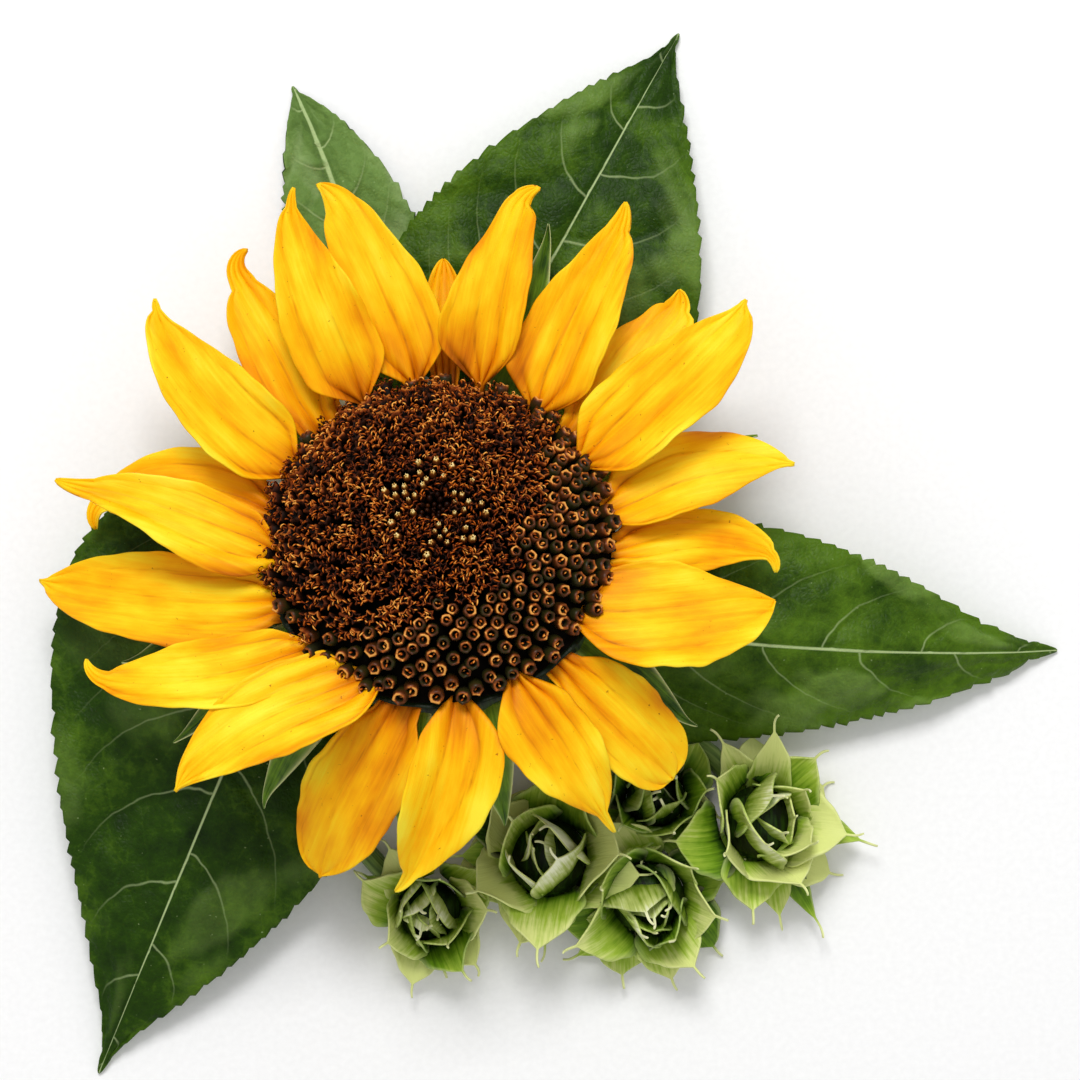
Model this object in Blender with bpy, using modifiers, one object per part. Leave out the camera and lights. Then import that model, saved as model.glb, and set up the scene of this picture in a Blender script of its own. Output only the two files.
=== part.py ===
"""Cut sunflower: one open head on a short cut stem, lying on its back,
with four leaves and five closed side buds.

Metres, +Z up. The origin is under the middle of the flower, on the surface
that it lies on.
"""
from math import cos, pi, radians, sin

import bmesh
import bpy
import numpy as np
from mathutils import Matrix, Vector

MM = 0.001
GAP = 0.3 * MM

# Flower head: where its rim circle is, how far it leans and which way.
HEAD_CENTRE = (-19.5 * MM, 2.3 * MM, 30.0 * MM)
HEAD_LEAN = 24.0
HEAD_LEAN_TO = 97.0
RECEPTACLE_RADIUS = 29.3 * MM
RECEPTACLE_WALL = 5.6 * MM
RECEPTACLE_DEPTH = 12.0 * MM
RECEPTACLE_BEVEL = (2.0 * MM, 1.4 * MM)
# Its rounded back: shares of the radius and of the depth.
RECEPTACLE_BACK = ((0.68, 0.80), (0.34, 0.94))
DISC_RADIUS = 29.0 * MM
DISC_HEIGHT = 16.0 * MM

# Petals and bracts start this far below the rim circle, on three levels.
PETAL_DEPTHS = (0.9 * MM, 2.2 * MM, 3.5 * MM)
BRACT_DEPTH = 4.9 * MM
PETAL_THICKNESS = 0.6 * MM
PETAL_FULL = 0.6
PETAL_CUP = 0.15
BRACT_THICKNESS = 0.6 * MM
LEAF_THICKNESS = 0.7 * MM

# Stem, petioles and side shoots.
STEM_RADIUS = 4.2 * MM
PETIOLE_RADIUS = 1.6 * MM
# A petiole's end, in mm: how far it runs on into its blade and how far it rises there.
PETIOLE_RUN_IN = 7.0
PETIOLE_RISE = 0.1
SHOOT_RADIUS = 1.5 * MM
TUBE_SIDES = 12

# Each petal: direction round the head, length and width in mm, level,
# rise and droop, then its sideways aim and sweep and its roll to the left,
# all angles in degrees, and how pointed its tip is.
PETALS = (
    # name, round, length, width, level, rise, droop, aim, sweep, roll, point
    ("ray_01", 76, 37, 13, 0, 40, 22, 8, -14, 0, 0.9),
    ("ray_02", 56, 39, 15, 1, 32, 18, 16, -14, 0, 0.9),
    ("ray_03", 38, 34, 14, 2, 18, 14, 14, 0, 0, 0.6),
    ("ray_04", 25, 40, 15, 0, 28, 14, 14, 14, 0, 0.9),
    ("ray_05", 8, 33, 14, 1, 10, 20, 26, -32, 0, 0.9),
    ("ray_06", 350, 30, 12, 2, -6, 24, 34, -40, 0, 0.7),
    ("ray_07", 328, 34, 18, 0, 2, 20, 40, 4, 0, 0.5),
    ("ray_08", 312, 30, 16, 2, -28, 26, 18, -6, 0, 0.4),
    ("ray_09", 294, 30, 18, 0, -22, 38, 14, 0, 0, 1.0),
    ("ray_10", 277, 37, 17, 1, -24, 36, -9, -44, -24, 0.9),
    ("ray_11", 256, 39, 18, 2, -36, 32, -20, -10, 0, 0.7),
    ("ray_12", 243, 39, 18, 0, 2, 28, -50, 18, 0, 0.9),
    ("ray_13", 222, 43, 15, 1, -4, 20, -24, -46, 0, 0.9),
    ("ray_14", 203, 44, 15, 2, -10, 14, -28, -18, 0, 0.8),
    ("ray_15", 186, 41, 14, 0, 20, 22, -40, 28, 0, 1.0),
    ("ray_16", 171, 35, 13, 2, 6, 50, -18, 50, 0, 0.8),
    ("ray_17", 153, 38, 17, 1, 34, 18, -4, -34, 0, 0.9),
    ("ray_18", 134, 34, 13, 2, 28, 14, -17, 6, 0, 1.0),
    ("ray_19", 117, 41, 16, 0, 42, 20, 4, -24, 0, 0.9),
    ("ray_20", 99, 41, 17, 1, 34, 14, 0, 30, 0, 0.9),
    ("ray_21", 88, 25, 10, 2, 26, 14, 2, 0, 0, 0.7),
)

# Each bract behind the petals: direction round the head, length, rise,
# droop, aim and sweep. BRACT_HALF is a half-width in mm and its two outline powers.
BRACTS = (
    ("bract_01", 69, 34, 22, 2, 4, 2),
    ("bract_02", 46, 28, 8, 6, 0, 0),
    ("bract_03", 20, 30, 0, 4, 0, 10),
    ("bract_04", 350, 26, -22, 14, 0, 0),
    ("bract_05", 328, 27, -30, 16, 0, 0),
    ("bract_06", 306, 26, -42, 18, 0, 0),
    ("bract_07", 284, 26, -48, 18, 0, 0),
    ("bract_08", 260, 27, -50, 18, 0, 0),
    ("bract_09", 232, 31, -42, 14, -6, 0),
    ("bract_10", 214, 30, -24, 14, -4, 0),
    ("bract_11", 193, 31, -16, 10, 10, -6),
    ("bract_12", 166, 27, -4, 12, 0, 0),
    ("bract_13", 143, 26, 6, 10, 0, 0),
    ("bract_14", 108, 30, 22, 6, 0, 0),
)
BRACT_HALF = (4.25, 0.35, 1.2)
BRACT_CUP = 0.10

# Each leaf blade: where it joins its petiole, its direction and length,
# rise and droop, aim and sweep, and how far each half folds down. Each half
# has its width, then how full it is at the base and how drawn out at the tip.
LEAVES = {
    "leaf_01": dict(base=(-31, 36, 4.6), heading=100, length=51, rise=2, droop=16.8, aim=0, sweep=16,
                    fold=(4, 4), left=(12.5, 0.4, 0.8), right=(12.5, 0.4, 0.8)),
    "leaf_02": dict(base=(-14, 27, 8), heading=61, length=77, rise=4, droop=24, aim=0, sweep=0,
                    fold=(0, 0), left=(25.5, 0.5, 1.15), right=(31, 0.5, 1.15)),
    "leaf_03": dict(base=(10, -13, 18), heading=-2, length=84, rise=0, droop=30.4, aim=-6, sweep=10,
                    fold=(6, 32), left=(22, 0.4, 1.15), right=(24, 0.25, 1.4)),
    "leaf_04": dict(base=(-43, -3, 14), heading=247, length=100, rise=2, droop=24.7, aim=0, sweep=0,
                    fold=(6, 8), left=(26, 0.7, 1.1), right=(40, 0.37, 1.1)),
}

# The stem's axis and each petiole's route from the stem, points in mm.
STEM_ROUTE = ((-60, -53, 4.3), (-50, -42, 4.3), (-40, -30.5, 4.3), (-32, -21.5, 4.6),
              (-25.5, -14, 6.6), (-21.2, -8.8, 10.4), (-19, -5, 14.2), (-18.9, -2.7, 18.75))
PETIOLE_ROUTES = {
    "leaf_01": ((-38.5, -20, 4.4), (-40.5, -8, 4.2), (-38.5, 12, 4.0), (-34, 27, 4.2)),
    "leaf_02": ((-31, -11.5, 6.2), (-30.5, -3, 5.0), (-26, 9, 5.2), (-19, 19, 6.6)),
    "leaf_03": ((-20.5, -17, 6.2), (-11, -17, 6.6), (0, -14.5, 11)),
    "leaf_04": ((-28.8, -8.6, 9.2), (-33, -2.5, 9.8), (-38, -0.6, 12)),
}

# Side buds: middle, radius and height in mm, and the way the mouth looks.
BUDS = {
    "bud_1": dict(middle=(-21.6, -64.3, 8.0), radius=8.2, height=16, lean=12, lean_to=270),
    "bud_2": dict(middle=(-1.0, -53.5, 9.7), radius=10.2, height=19, lean=24, lean_to=120),
    "bud_3": dict(middle=(17.6, -62.0, 9.2), radius=9.4, height=18, lean=20, lean_to=300),
    "bud_4": dict(middle=(38.2, -47.6, 9.6), radius=9.8, height=19, lean=30, lean_to=20),
    "bud_5": dict(middle=(18.6, -43.2, 8.4), radius=7.0, height=16, lean=10, lean_to=90),
}
BUD_LOBES = 7
BUD_LOBE_DEPTH = 0.07
SHOOT_ROUTES = {
    "shoot_1": ((-43.5, -42, 3.2), (-38, -48, 2.6), (-31, -56, 2.8), (-27.6, -59.2, 3.6)),
    "shoot_2": ((-37.5, -35.5, 3.2), (-26, -40, 2.6), (-13, -46, 2.8), (-8.8, -48.5, 4.5)),
    "shoot_3": ((-32.5, -29.5, 3.4), (-10, -34, 2.6), (4, -40.5, 2.6), (9.4, -48, 2.6), (12.7, -55.1, 4.0)),
    "shoot_4": ((-24.6, -20.8, 5.0), (-5, -23.5, 3.0), (14, -27.5, 2.6), (27, -35, 2.8), (32.6, -40.6, 4.0)),
    "shoot_5": ((-28.4, -25.4, 4.2), (-8, -29, 3.0), (6, -34, 2.8), (13.4, -39.4, 3.8)),
}

SPINE_STEPS = 60
BASE_TURN = 0.2
FOOT = 0.1
TIP_HALF_WIDTH = 0.4 * MM


def clear_scene():
    for item in list(bpy.data.objects):
        bpy.data.objects.remove(item)


def new_material(name, colour, roughness):
    """A Principled material of one colour."""
    material = bpy.data.materials.new(name)
    material.use_nodes = True
    shader = material.node_tree.nodes["Principled BSDF"]
    shader.inputs["Base Color"].default_value = (*colour, 1.0)
    shader.inputs["Roughness"].default_value = roughness
    return material


def new_object(name, data, collection, material=None):
    item = bpy.data.objects.new(name, data)
    collection.objects.link(item)
    if material is not None:
        data.materials.append(material)
    return item


def spine(length, rise, droop, aim, sweep, roll):
    """Points along a blade's midline and its sideways and upward directions.

    The midline leaves the base at the angle rise above level and at aim to
    the side. Along it the rise falls by droop and the aim turns by sweep.
    The sideways direction starts square to X, so the base edge lies flat
    against what carries it, and follows the midline from BASE_TURN on.
    Roll lifts the left edge and lowers the right one, more towards the tip.
    """
    t = np.linspace(0.0, 1.0, SPINE_STEPS + 1)
    up_angle = np.radians(rise - droop * t ** 1.5)
    side_angle = np.radians(aim + sweep * t)
    along = np.stack([np.cos(up_angle) * np.cos(side_angle),
                      np.cos(up_angle) * np.sin(side_angle),
                      np.sin(up_angle)], axis=1)
    steps = (along[1:] + along[:-1]) * 0.5 * length / SPINE_STEPS
    points = np.concatenate([np.zeros((1, 3)), np.cumsum(steps, axis=0)])
    across = np.radians(aim * np.minimum(t / BASE_TURN, 1.0) + sweep * t)
    side = np.stack([-np.sin(across), np.cos(across), np.zeros_like(t)], axis=1)
    up = np.cross(along, side)
    up /= np.linalg.norm(up, axis=1, keepdims=True)
    tip_over = np.radians(roll * t)[:, None]
    return (points, side * np.cos(tip_over) + up * np.sin(tip_over),
            up * np.cos(tip_over) - side * np.sin(tip_over))


def outline(s, full, drawn):
    """A half-width from 1 at its widest to 0 at the tip: (s + FOOT)^full (1 - s)^drawn."""
    widest = (full - drawn * FOOT) / (full + drawn)
    peak = (widest + FOOT) ** full * (1.0 - widest) ** drawn
    return (s + FOOT) ** full * (1.0 - s) ** drawn / peak


def blade_mesh(name, length, bend, left, right, cup=0.0, fold=(0, 0), cuts=(8, 4)):
    """An open blade: a grid laid along the spine and spread to its outline.

    bend is (rise, droop, aim, sweep, roll). left and right are each half's width
    in mm with its two outline powers. cup lifts both edges and fold tips
    each half down by an angle.
    """
    points, sides, ups = spine(length * MM, *bend)
    bm = bmesh.new()
    bmesh.ops.create_grid(bm, x_segments=cuts[0], y_segments=cuts[1], size=1.0)
    for vert in bm.verts:
        s = (vert.co.x + 1.0) / 2.0
        v = vert.co.y
        step = s * SPINE_STEPS
        low = min(int(step), SPINE_STEPS - 1)
        mix = step - low
        point, side, up = (rows[low] * (1.0 - mix) + rows[low + 1] * mix
                           for rows in (points, sides, ups))
        width, full, drawn = left if v > 0 else right
        half = width * MM * outline(s, full, drawn) + TIP_HALF_WIDTH * s
        tip_down = radians(fold[0] if v > 0 else fold[1])
        out = v * half * cos(tip_down)
        lift = cup * v * v * half - abs(v) * half * sin(tip_down)
        vert.co = Vector(point + side * out + up * lift)
    mesh = bpy.data.meshes.new(name)
    bm.to_mesh(mesh)
    bm.free()
    mesh.shade_smooth()
    return mesh


def add_wall(item, thickness):
    """Give an open surface its thickness, half on each side."""
    wall = item.modifiers.new("wall", "SOLIDIFY")
    wall.thickness = thickness
    wall.offset = 0.0


def tube_mesh(name, route, radius):
    """A closed tube of one radius along a smooth curve through the points."""
    knots = np.array(route, dtype=float) * MM
    steps = np.linspace(0, len(knots) - 1, 4 * (len(knots) - 1) + 1)
    curve = bpy.data.curves.new(name, "CURVE")
    curve.dimensions = "3D"
    curve.bevel_depth = radius
    curve.bevel_resolution = TUBE_SIDES // 4 - 1
    curve.use_fill_caps = True
    line = curve.splines.new("POLY")
    line.points.add(len(steps) - 1)
    for point, step in zip(line.points, steps):
        point.co = (*through_points(knots, step), 1.0)
    carrier = bpy.data.objects.new(name, curve)
    bpy.context.scene.collection.objects.link(carrier)
    graph = bpy.context.evaluated_depsgraph_get()
    mesh = bpy.data.meshes.new_from_object(carrier.evaluated_get(graph))
    bpy.data.objects.remove(carrier)
    bm = bmesh.new()
    bm.from_mesh(mesh)
    bmesh.ops.remove_doubles(bm, verts=bm.verts, dist=0.001 * MM)
    bmesh.ops.recalc_face_normals(bm, faces=bm.faces)
    bm.to_mesh(mesh)
    bm.free()
    mesh.shade_smooth()
    return mesh


def through_points(knots, step):
    """A Catmull-Rom curve: it passes through each knot, smoothly."""
    last = len(knots) - 1
    low = min(int(step), last - 1)
    t = step - low
    before, start, end, after = (knots[min(max(low + k, 0), last)] for k in (-1, 0, 1, 2))
    return 0.5 * (2 * start + (end - before) * t
                  + (2 * before - 5 * start + 4 * end - after) * t ** 2
                  + (3 * start - before - 3 * end + after) * t ** 3)


def turned(name, profile, collection, material, steps):
    """A solid turned round Z from a profile that runs top to bottom."""
    mesh = bpy.data.meshes.new(name)
    edges = [(i, i + 1) for i in range(len(profile) - 1)]
    mesh.from_pydata([(r, 0.0, z) for r, z in profile], edges, [])
    item = new_object(name, mesh, collection, material)
    screw = item.modifiers.new("turn", "SCREW")
    screw.steps = steps
    screw.render_steps = steps
    screw.use_merge_vertices = True
    screw.merge_threshold = 0.00001
    return item


def make_head_frame(collection):
    """The empty that carries the head's pieces: +Z is the way the flower faces."""
    frame = new_object("head_frame", None, collection)
    lean = (Matrix.Rotation(radians(HEAD_LEAN_TO), 4, "Z") @ Matrix.Rotation(radians(HEAD_LEAN), 4, "Y")
            @ Matrix.Rotation(radians(-HEAD_LEAN_TO), 4, "Z"))
    frame.location = HEAD_CENTRE
    frame.rotation_euler = lean.to_euler()
    return frame


def make_receptacle(head, collection, material):
    """The fleshy plate behind the petals, deepest where the stem joins it."""
    r = RECEPTACLE_RADIUS
    inwards, down = RECEPTACLE_BEVEL
    profile = [(0.0, 0.0), (r, 0.0), (r, -RECEPTACLE_WALL), (r - inwards, -RECEPTACLE_WALL - down)]
    profile += [(share * r, -deep * RECEPTACLE_DEPTH) for share, deep in RECEPTACLE_BACK]
    profile += [(STEM_RADIUS, -RECEPTACLE_DEPTH), (0.0, -RECEPTACLE_DEPTH)]
    turned("receptacle", profile, collection, material, 28).parent = head


def make_disc(head, collection, material):
    """The domed cushion of small florets, an ellipse in section."""
    angles = np.linspace(pi / 2, 0.0, 9)
    profile = [(DISC_RADIUS * cos(a), GAP + DISC_HEIGHT * sin(a)) for a in angles]
    profile[0] = (0.0, GAP + DISC_HEIGHT)
    profile.append((0.0, GAP))
    turned("disc_florets", profile, collection, material, 28).parent = head


def make_petals(head, collection, material):
    for name, turn, length, width, level, rise, droop, aim, sweep, roll, point in PETALS:
        half = (width / 2, PETAL_FULL, point)
        mesh = blade_mesh(name, length, (rise, droop, aim, sweep, roll), half, half, cup=PETAL_CUP)
        petal = new_object(name, mesh, collection, material)
        add_wall(petal, PETAL_THICKNESS)
        seat(petal, head, turn, PETAL_DEPTHS[level])


def make_bracts(head, collection, material):
    for name, turn, length, rise, droop, aim, sweep in BRACTS:
        mesh = blade_mesh(name, length, (rise, droop, aim, sweep, 0), BRACT_HALF, BRACT_HALF,
                          cup=BRACT_CUP, cuts=(6, 2))
        bract = new_object(name, mesh, collection, material)
        add_wall(bract, BRACT_THICKNESS)
        seat(bract, head, turn, BRACT_DEPTH)


def seat(item, head, turn, depth):
    """Put a blade's base on the receptacle's wall, a gap away from it."""
    reach = RECEPTACLE_RADIUS + GAP
    item.parent = head
    item.location = (reach * cos(radians(turn)), reach * sin(radians(turn)), -depth)
    item.rotation_euler = (0.0, 0.0, radians(turn))


def make_leaves(collection, tools, material):
    for name, leaf in LEAVES.items():
        base = Vector(leaf["base"]) * MM
        bend = (leaf["rise"], leaf["droop"], leaf["aim"], leaf["sweep"], 0)
        mesh = blade_mesh(name, leaf["length"], bend, leaf["left"], leaf["right"],
                          fold=leaf["fold"], cuts=(12, 6))
        blade = new_object(name, mesh, collection, material)
        blade.location = base
        blade.rotation_euler = (0.0, 0.0, radians(leaf["heading"]))
        add_wall(blade, LEAF_THICKNESS)
        join_petiole(blade, leaf, tools)


def join_petiole(blade, leaf, tools):
    """Join the blade and the stalk that runs from the stem into its midrib."""
    base = np.array(leaf["base"], dtype=float)
    heading = radians(leaf["heading"] + leaf["aim"])
    inside = base + np.array([cos(heading) * PETIOLE_RUN_IN, sin(heading) * PETIOLE_RUN_IN, PETIOLE_RISE])
    route = (*PETIOLE_ROUTES[blade.name], tuple(base), tuple(inside))
    petiole = new_object(blade.name + "_petiole", tube_mesh(blade.name + "_petiole", route, PETIOLE_RADIUS),
                         tools)
    petiole.hide_render = True
    petiole.display_type = "WIRE"
    join = blade.modifiers.new("petiole", "BOOLEAN")
    join.operation = "UNION"
    join.object = petiole


def make_stem(collection, material):
    new_object("stem", tube_mesh("stem", STEM_ROUTE, STEM_RADIUS), collection, material)


def make_buds(collection, material):
    for name, bud in BUDS.items():
        item = new_object(name, bud_mesh(name, bud["radius"] * MM, bud["height"] * MM), collection, material)
        item.location = Vector(bud["middle"]) * MM
        turn = radians(bud["lean_to"])
        lean = (Matrix.Rotation(turn, 4, "Z") @ Matrix.Rotation(radians(bud["lean"]), 4, "Y")
                @ Matrix.Rotation(-turn, 4, "Z"))
        item.rotation_euler = lean.to_euler()


def bud_mesh(name, radius, height):
    """A closed bud: a globe with shallow lobes where the bracts overlap."""
    bm = bmesh.new()
    bmesh.ops.create_uvsphere(bm, u_segments=4 * BUD_LOBES, v_segments=8, radius=1.0)
    for vert in bm.verts:
        turn = np.arctan2(vert.co.y, vert.co.x)
        girth = 1.0 + BUD_LOBE_DEPTH * cos(BUD_LOBES * turn) * (1.0 + vert.co.z) / 2.0
        vert.co = Vector((vert.co.x * girth * radius, vert.co.y * girth * radius, vert.co.z * height / 2.0))
    mesh = bpy.data.meshes.new(name)
    bm.to_mesh(mesh)
    bm.free()
    mesh.shade_smooth()
    return mesh


def make_shoots(collection, material):
    for name, route in SHOOT_ROUTES.items():
        new_object(name, tube_mesh(name, route, SHOOT_RADIUS), collection, material)


def main():
    clear_scene()
    flower = bpy.data.collections.new("cut_sunflower")
    tools = bpy.data.collections.new("joining_pieces")
    for group in (flower, tools):
        bpy.context.scene.collection.children.link(group)
    petal_yellow = new_material("petal_yellow", (0.95, 0.55, 0.01), 0.55)
    disc_brown = new_material("disc_brown", (0.09, 0.035, 0.012), 0.8)
    bract_green = new_material("bract_green", (0.13, 0.24, 0.05), 0.6)
    leaf_green = new_material("leaf_green", (0.03, 0.10, 0.02), 0.5)
    stem_green = new_material("stem_green", (0.16, 0.26, 0.07), 0.6)
    head = make_head_frame(flower)
    make_stem(flower, stem_green)
    make_receptacle(head, flower, bract_green)
    make_disc(head, flower, disc_brown)
    make_petals(head, flower, petal_yellow)
    make_bracts(head, flower, bract_green)
    make_leaves(flower, tools, leaf_green)
    make_shoots(flower, stem_green)
    make_buds(flower, bract_green)


main()
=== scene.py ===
# %% [markdown]
# # A cut sunflower, lying on its back
#
# A sunflower head is not one flower but hundreds. The brown disc is packed with small tube-shaped
# florets, and each yellow "petal" is the long strap of one more floret at the rim. Behind them sit
# green bracts, then the stem with its rough leaves, and here a row of side buds that never opened.
#
# Almost every piece is a thin curved sheet or a tube, so the whole flower is worked out with two
# ideas: a blade laid along a bending spine, and rings carried along a path.

# %% The solid model that every piece is fitted to
import math

import bpy
import numpy as np
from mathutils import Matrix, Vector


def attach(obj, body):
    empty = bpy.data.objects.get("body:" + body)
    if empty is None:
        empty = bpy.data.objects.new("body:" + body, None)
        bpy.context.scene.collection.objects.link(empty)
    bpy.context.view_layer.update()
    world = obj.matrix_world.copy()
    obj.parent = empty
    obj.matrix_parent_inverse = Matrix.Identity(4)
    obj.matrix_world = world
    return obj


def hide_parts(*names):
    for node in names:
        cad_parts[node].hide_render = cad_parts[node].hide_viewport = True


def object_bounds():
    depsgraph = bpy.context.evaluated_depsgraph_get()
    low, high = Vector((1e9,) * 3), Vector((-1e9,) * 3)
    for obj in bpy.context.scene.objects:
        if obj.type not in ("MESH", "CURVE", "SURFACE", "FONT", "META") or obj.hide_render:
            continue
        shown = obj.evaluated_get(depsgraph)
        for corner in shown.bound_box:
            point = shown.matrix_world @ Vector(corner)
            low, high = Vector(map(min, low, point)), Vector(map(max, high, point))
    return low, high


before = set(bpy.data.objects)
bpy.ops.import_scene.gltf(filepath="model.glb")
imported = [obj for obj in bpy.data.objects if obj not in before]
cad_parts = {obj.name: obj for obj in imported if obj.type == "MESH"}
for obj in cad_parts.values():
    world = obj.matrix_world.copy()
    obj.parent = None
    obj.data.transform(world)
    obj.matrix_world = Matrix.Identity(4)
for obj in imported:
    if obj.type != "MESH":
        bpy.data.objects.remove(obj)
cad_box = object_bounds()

MM = 0.001
low, high = (np.array(corner) / MM for corner in cad_box)
print("the flower measures", np.round(high - low, 1), "mm")

# %% [markdown]
# ## Two small helpers for every finish
#
# Colours are easiest to pick as hex codes, but a shader works in linear light, so one function
# turns the first into the second. The other adds a single node: what feeds it goes in a dictionary,
# what it is set to goes in as plain arguments, and it hands back the output that the next one reads.


# %% Colours and nodes
def linear(code):
    """An sRGB hex colour as linear light: each channel c becomes ((c + 0.055) / 1.055) ^ 2.4."""
    channels = [int(code[i:i + 2], 16) / 255 for i in (1, 3, 5)]
    return [c / 12.92 if c <= 0.04045 else ((c + 0.055) / 1.055) ** 2.4 for c in channels] + [1.0]


def add(tree, kind, inputs=None, out=0, stops=(), **settings):
    """Add one node. An input is a number, a hex colour or the output that feeds it."""
    node = tree.nodes.new(kind)
    for key, value in settings.items():
        setattr(node, key, value)
    for place, (position, colour) in enumerate(stops):
        held = node.color_ramp.elements
        stop = held[place] if place < len(held) else held.new(position)
        stop.position = position
        stop.color = linear(colour)
    for key, value in (inputs or {}).items():
        if isinstance(value, bpy.types.NodeSocket):
            tree.links.new(value, node.inputs[key])
        else:
            node.inputs[key].default_value = linear(value) if isinstance(value, str) else value
    return node.outputs[out]


def finish(name, settings):
    """A new material with a Principled shader, its fixed values set on the shader itself."""
    material = bpy.data.materials.new(name)
    material.use_nodes = True
    shader = material.node_tree.nodes["Principled BSDF"]
    for key, value in settings.items():
        shader.inputs[key].default_value = value
    return material, material.node_tree, shader


print("a mid yellow in linear light:", np.round(linear("#FFC81E"), 3))

# %% [markdown]
# ## From arrays to a mesh
#
# A shape here is an array of points, row by row, and an array of four-cornered faces. A thin sheet
# is closed by lifting its middle surface to both sides and walling the border, so it has a real
# thickness and no open edge. A tube is a stack of rings, with both end rings filled by a strip of
# faces, which needs no pole and so no triangles.


# %% Faces of sheets and tubes
def sheet_faces(rows, columns):
    """Faces of a closed sheet: the upper grid, the lower grid turned over, and the border wall."""
    index = np.arange(rows * columns).reshape(rows, columns)
    upper = np.stack([index[:-1, :-1], index[1:, :-1], index[1:, 1:], index[:-1, 1:]], -1).reshape(-1, 4)
    lower = upper[:, ::-1] + rows * columns
    loop = np.concatenate([index[:, 0], index[-1, 1:], index[-2::-1, -1], index[0, -2:0:-1]])
    after = np.roll(loop, -1)
    wall = np.stack([after, loop, loop + rows * columns, after + rows * columns], -1)
    return np.concatenate([upper, wall, lower]), len(lower)


def tube_faces(rings, sides, count=1):
    """Faces of closed tubes, ring by ring; sides is even, and count copies follow one another."""
    index = np.arange(rings * sides).reshape(rings, sides)
    after = np.roll(index, -1, axis=1)
    walls = np.stack([index[:-1], after[:-1], after[1:], index[1:]], -1).reshape(-1, 4)
    step = np.arange(sides // 2 - 1)
    lid = np.stack([step, step + 1, sides - 2 - step, sides - 1 - step], -1)
    quads = np.concatenate([walls, lid[:, ::-1], lid + (rings - 1) * sides])
    return (quads + (np.arange(count) * rings * sides)[:, None, None]).reshape(-1, 4)


def unit(vectors):
    """The same directions with length 1."""
    return vectors / np.linalg.norm(vectors, axis=-1, keepdims=True)


# %% Meshes with attributes
def make_piece(name, points, faces, materials, slot, replaced=(), second=0, **fields):
    """A piece of the flower from points in mm; fields are per-point triples that its finish reads.

    The last `second` faces wear the second material. A field for one side of a sheet serves both.
    """
    mesh = bpy.data.meshes.new(name)
    mesh.from_pydata(points.reshape(-1, 3) * MM, [], faces.tolist())
    for key, values in fields.items():
        values = values.reshape(-1, 3).astype(np.float32)
        layer = mesh.attributes.new(key, "FLOAT_VECTOR", "POINT")
        layer.data.foreach_set("vector", np.tile(values, (len(mesh.vertices) // len(values), 1)).ravel())
    for material in materials:
        mesh.materials.append(material)
    worn = np.zeros(len(faces), dtype=np.int32)
    worn[len(faces) - second:] = 1 if second else 0
    mesh.polygons.foreach_set("material_index", worn)
    mesh.shade_smooth()
    piece = bpy.data.objects.new(name, mesh)
    bpy.context.scene.collection.objects.link(piece)
    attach(piece, "root")
    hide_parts(*replaced)
    return piece


def triples(*parts):
    """Three arrays, spread to one shape and stacked into the triples of an attribute."""
    return np.stack(np.broadcast_arrays(*parts), -1).astype(float)


# %% Closed sheets
def close_sheet(middle, thickness, rib=0.0):
    """Upper and lower points of a sheet round its middle: normal = along x across, rib thickens below."""
    normal = unit(np.cross(np.gradient(middle, axis=0), np.gradient(middle, axis=1)))
    half = np.asarray(thickness * 0.5)[..., None]
    below = half + np.asarray(rib)[..., None]
    return np.concatenate([(middle + normal * half).reshape(-1, 3), (middle - normal * below).reshape(-1, 3)])


def make_sheet(name, middle, thickness, materials, slot, replaced, rib=0.0, **fields):
    """A closed sheet round its middle surface, with the second material on its under side."""
    faces, under = sheet_faces(*middle.shape[:2])
    closed = close_sheet(middle, thickness, rib)
    return make_piece(name, closed, faces, materials, slot, replaced, under, **fields)


print("a sheet of 3 x 3 points has", len(sheet_faces(3, 3)[0]), "faces")

# %% [markdown]
# ## The table, the light and the camera
#
# The flower lies on a plain white table in a white room, whose light from all sides leaves a soft
# dark halo round whatever lies low. One soft box, like a window beyond the far side of the flower,
# models the petals. The camera looks straight down, because the open flower faces up. A
# long lens keeps the near petals from looking bigger than the far leaves.

# %% Table
TABLE_SPAN = 2400
corners = np.array([(-1, -1), (-1, 1), (1, -1), (1, 1)]) * TABLE_SPAN / 2
table_mesh = bpy.data.meshes.new("table_top")
table_mesh.from_pydata([(x * MM, y * MM, 0.0) for x, y in corners], [], [(0, 2, 3, 1)])
table_top = bpy.data.objects.new("table_top", table_mesh)
bpy.context.scene.collection.objects.link(table_top)

# Matt white board: a faint grain in its white, and no hue of its own.
board, tree, shader = finish("matt_white_board", {"Roughness": 0.85, "Specular IOR Level": 0.2})
place = add(tree, "ShaderNodeTexCoord", out="Object")
grain = add(tree, "ShaderNodeTexNoise", {"Vector": place, "Scale": 900.0, "Detail": 2.0})
white = add(tree, "ShaderNodeValToRGB", {0: grain}, stops=[(0.3, "#F6F6F6"), (0.7, "#FAFAFA")])
tree.links.new(white, shader.inputs["Base Color"])
table_mesh.materials.append(board)
print("the table is", TABLE_SPAN, "mm across")

# %% Lights
def soft_light(name, where, watts, size):
    """A square soft box that faces the middle of the flower; where is in mm."""
    data = bpy.data.lights.new(name, "AREA")
    data.energy = watts
    data.size = size * MM
    lamp = bpy.data.objects.new(name, data)
    bpy.context.scene.collection.objects.link(lamp)
    x, y, z = where
    lamp.location = [c * MM for c in where]
    lamp.rotation_euler = (math.atan2(math.hypot(x, y), z), 0.0, math.atan2(x, -y))


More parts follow.
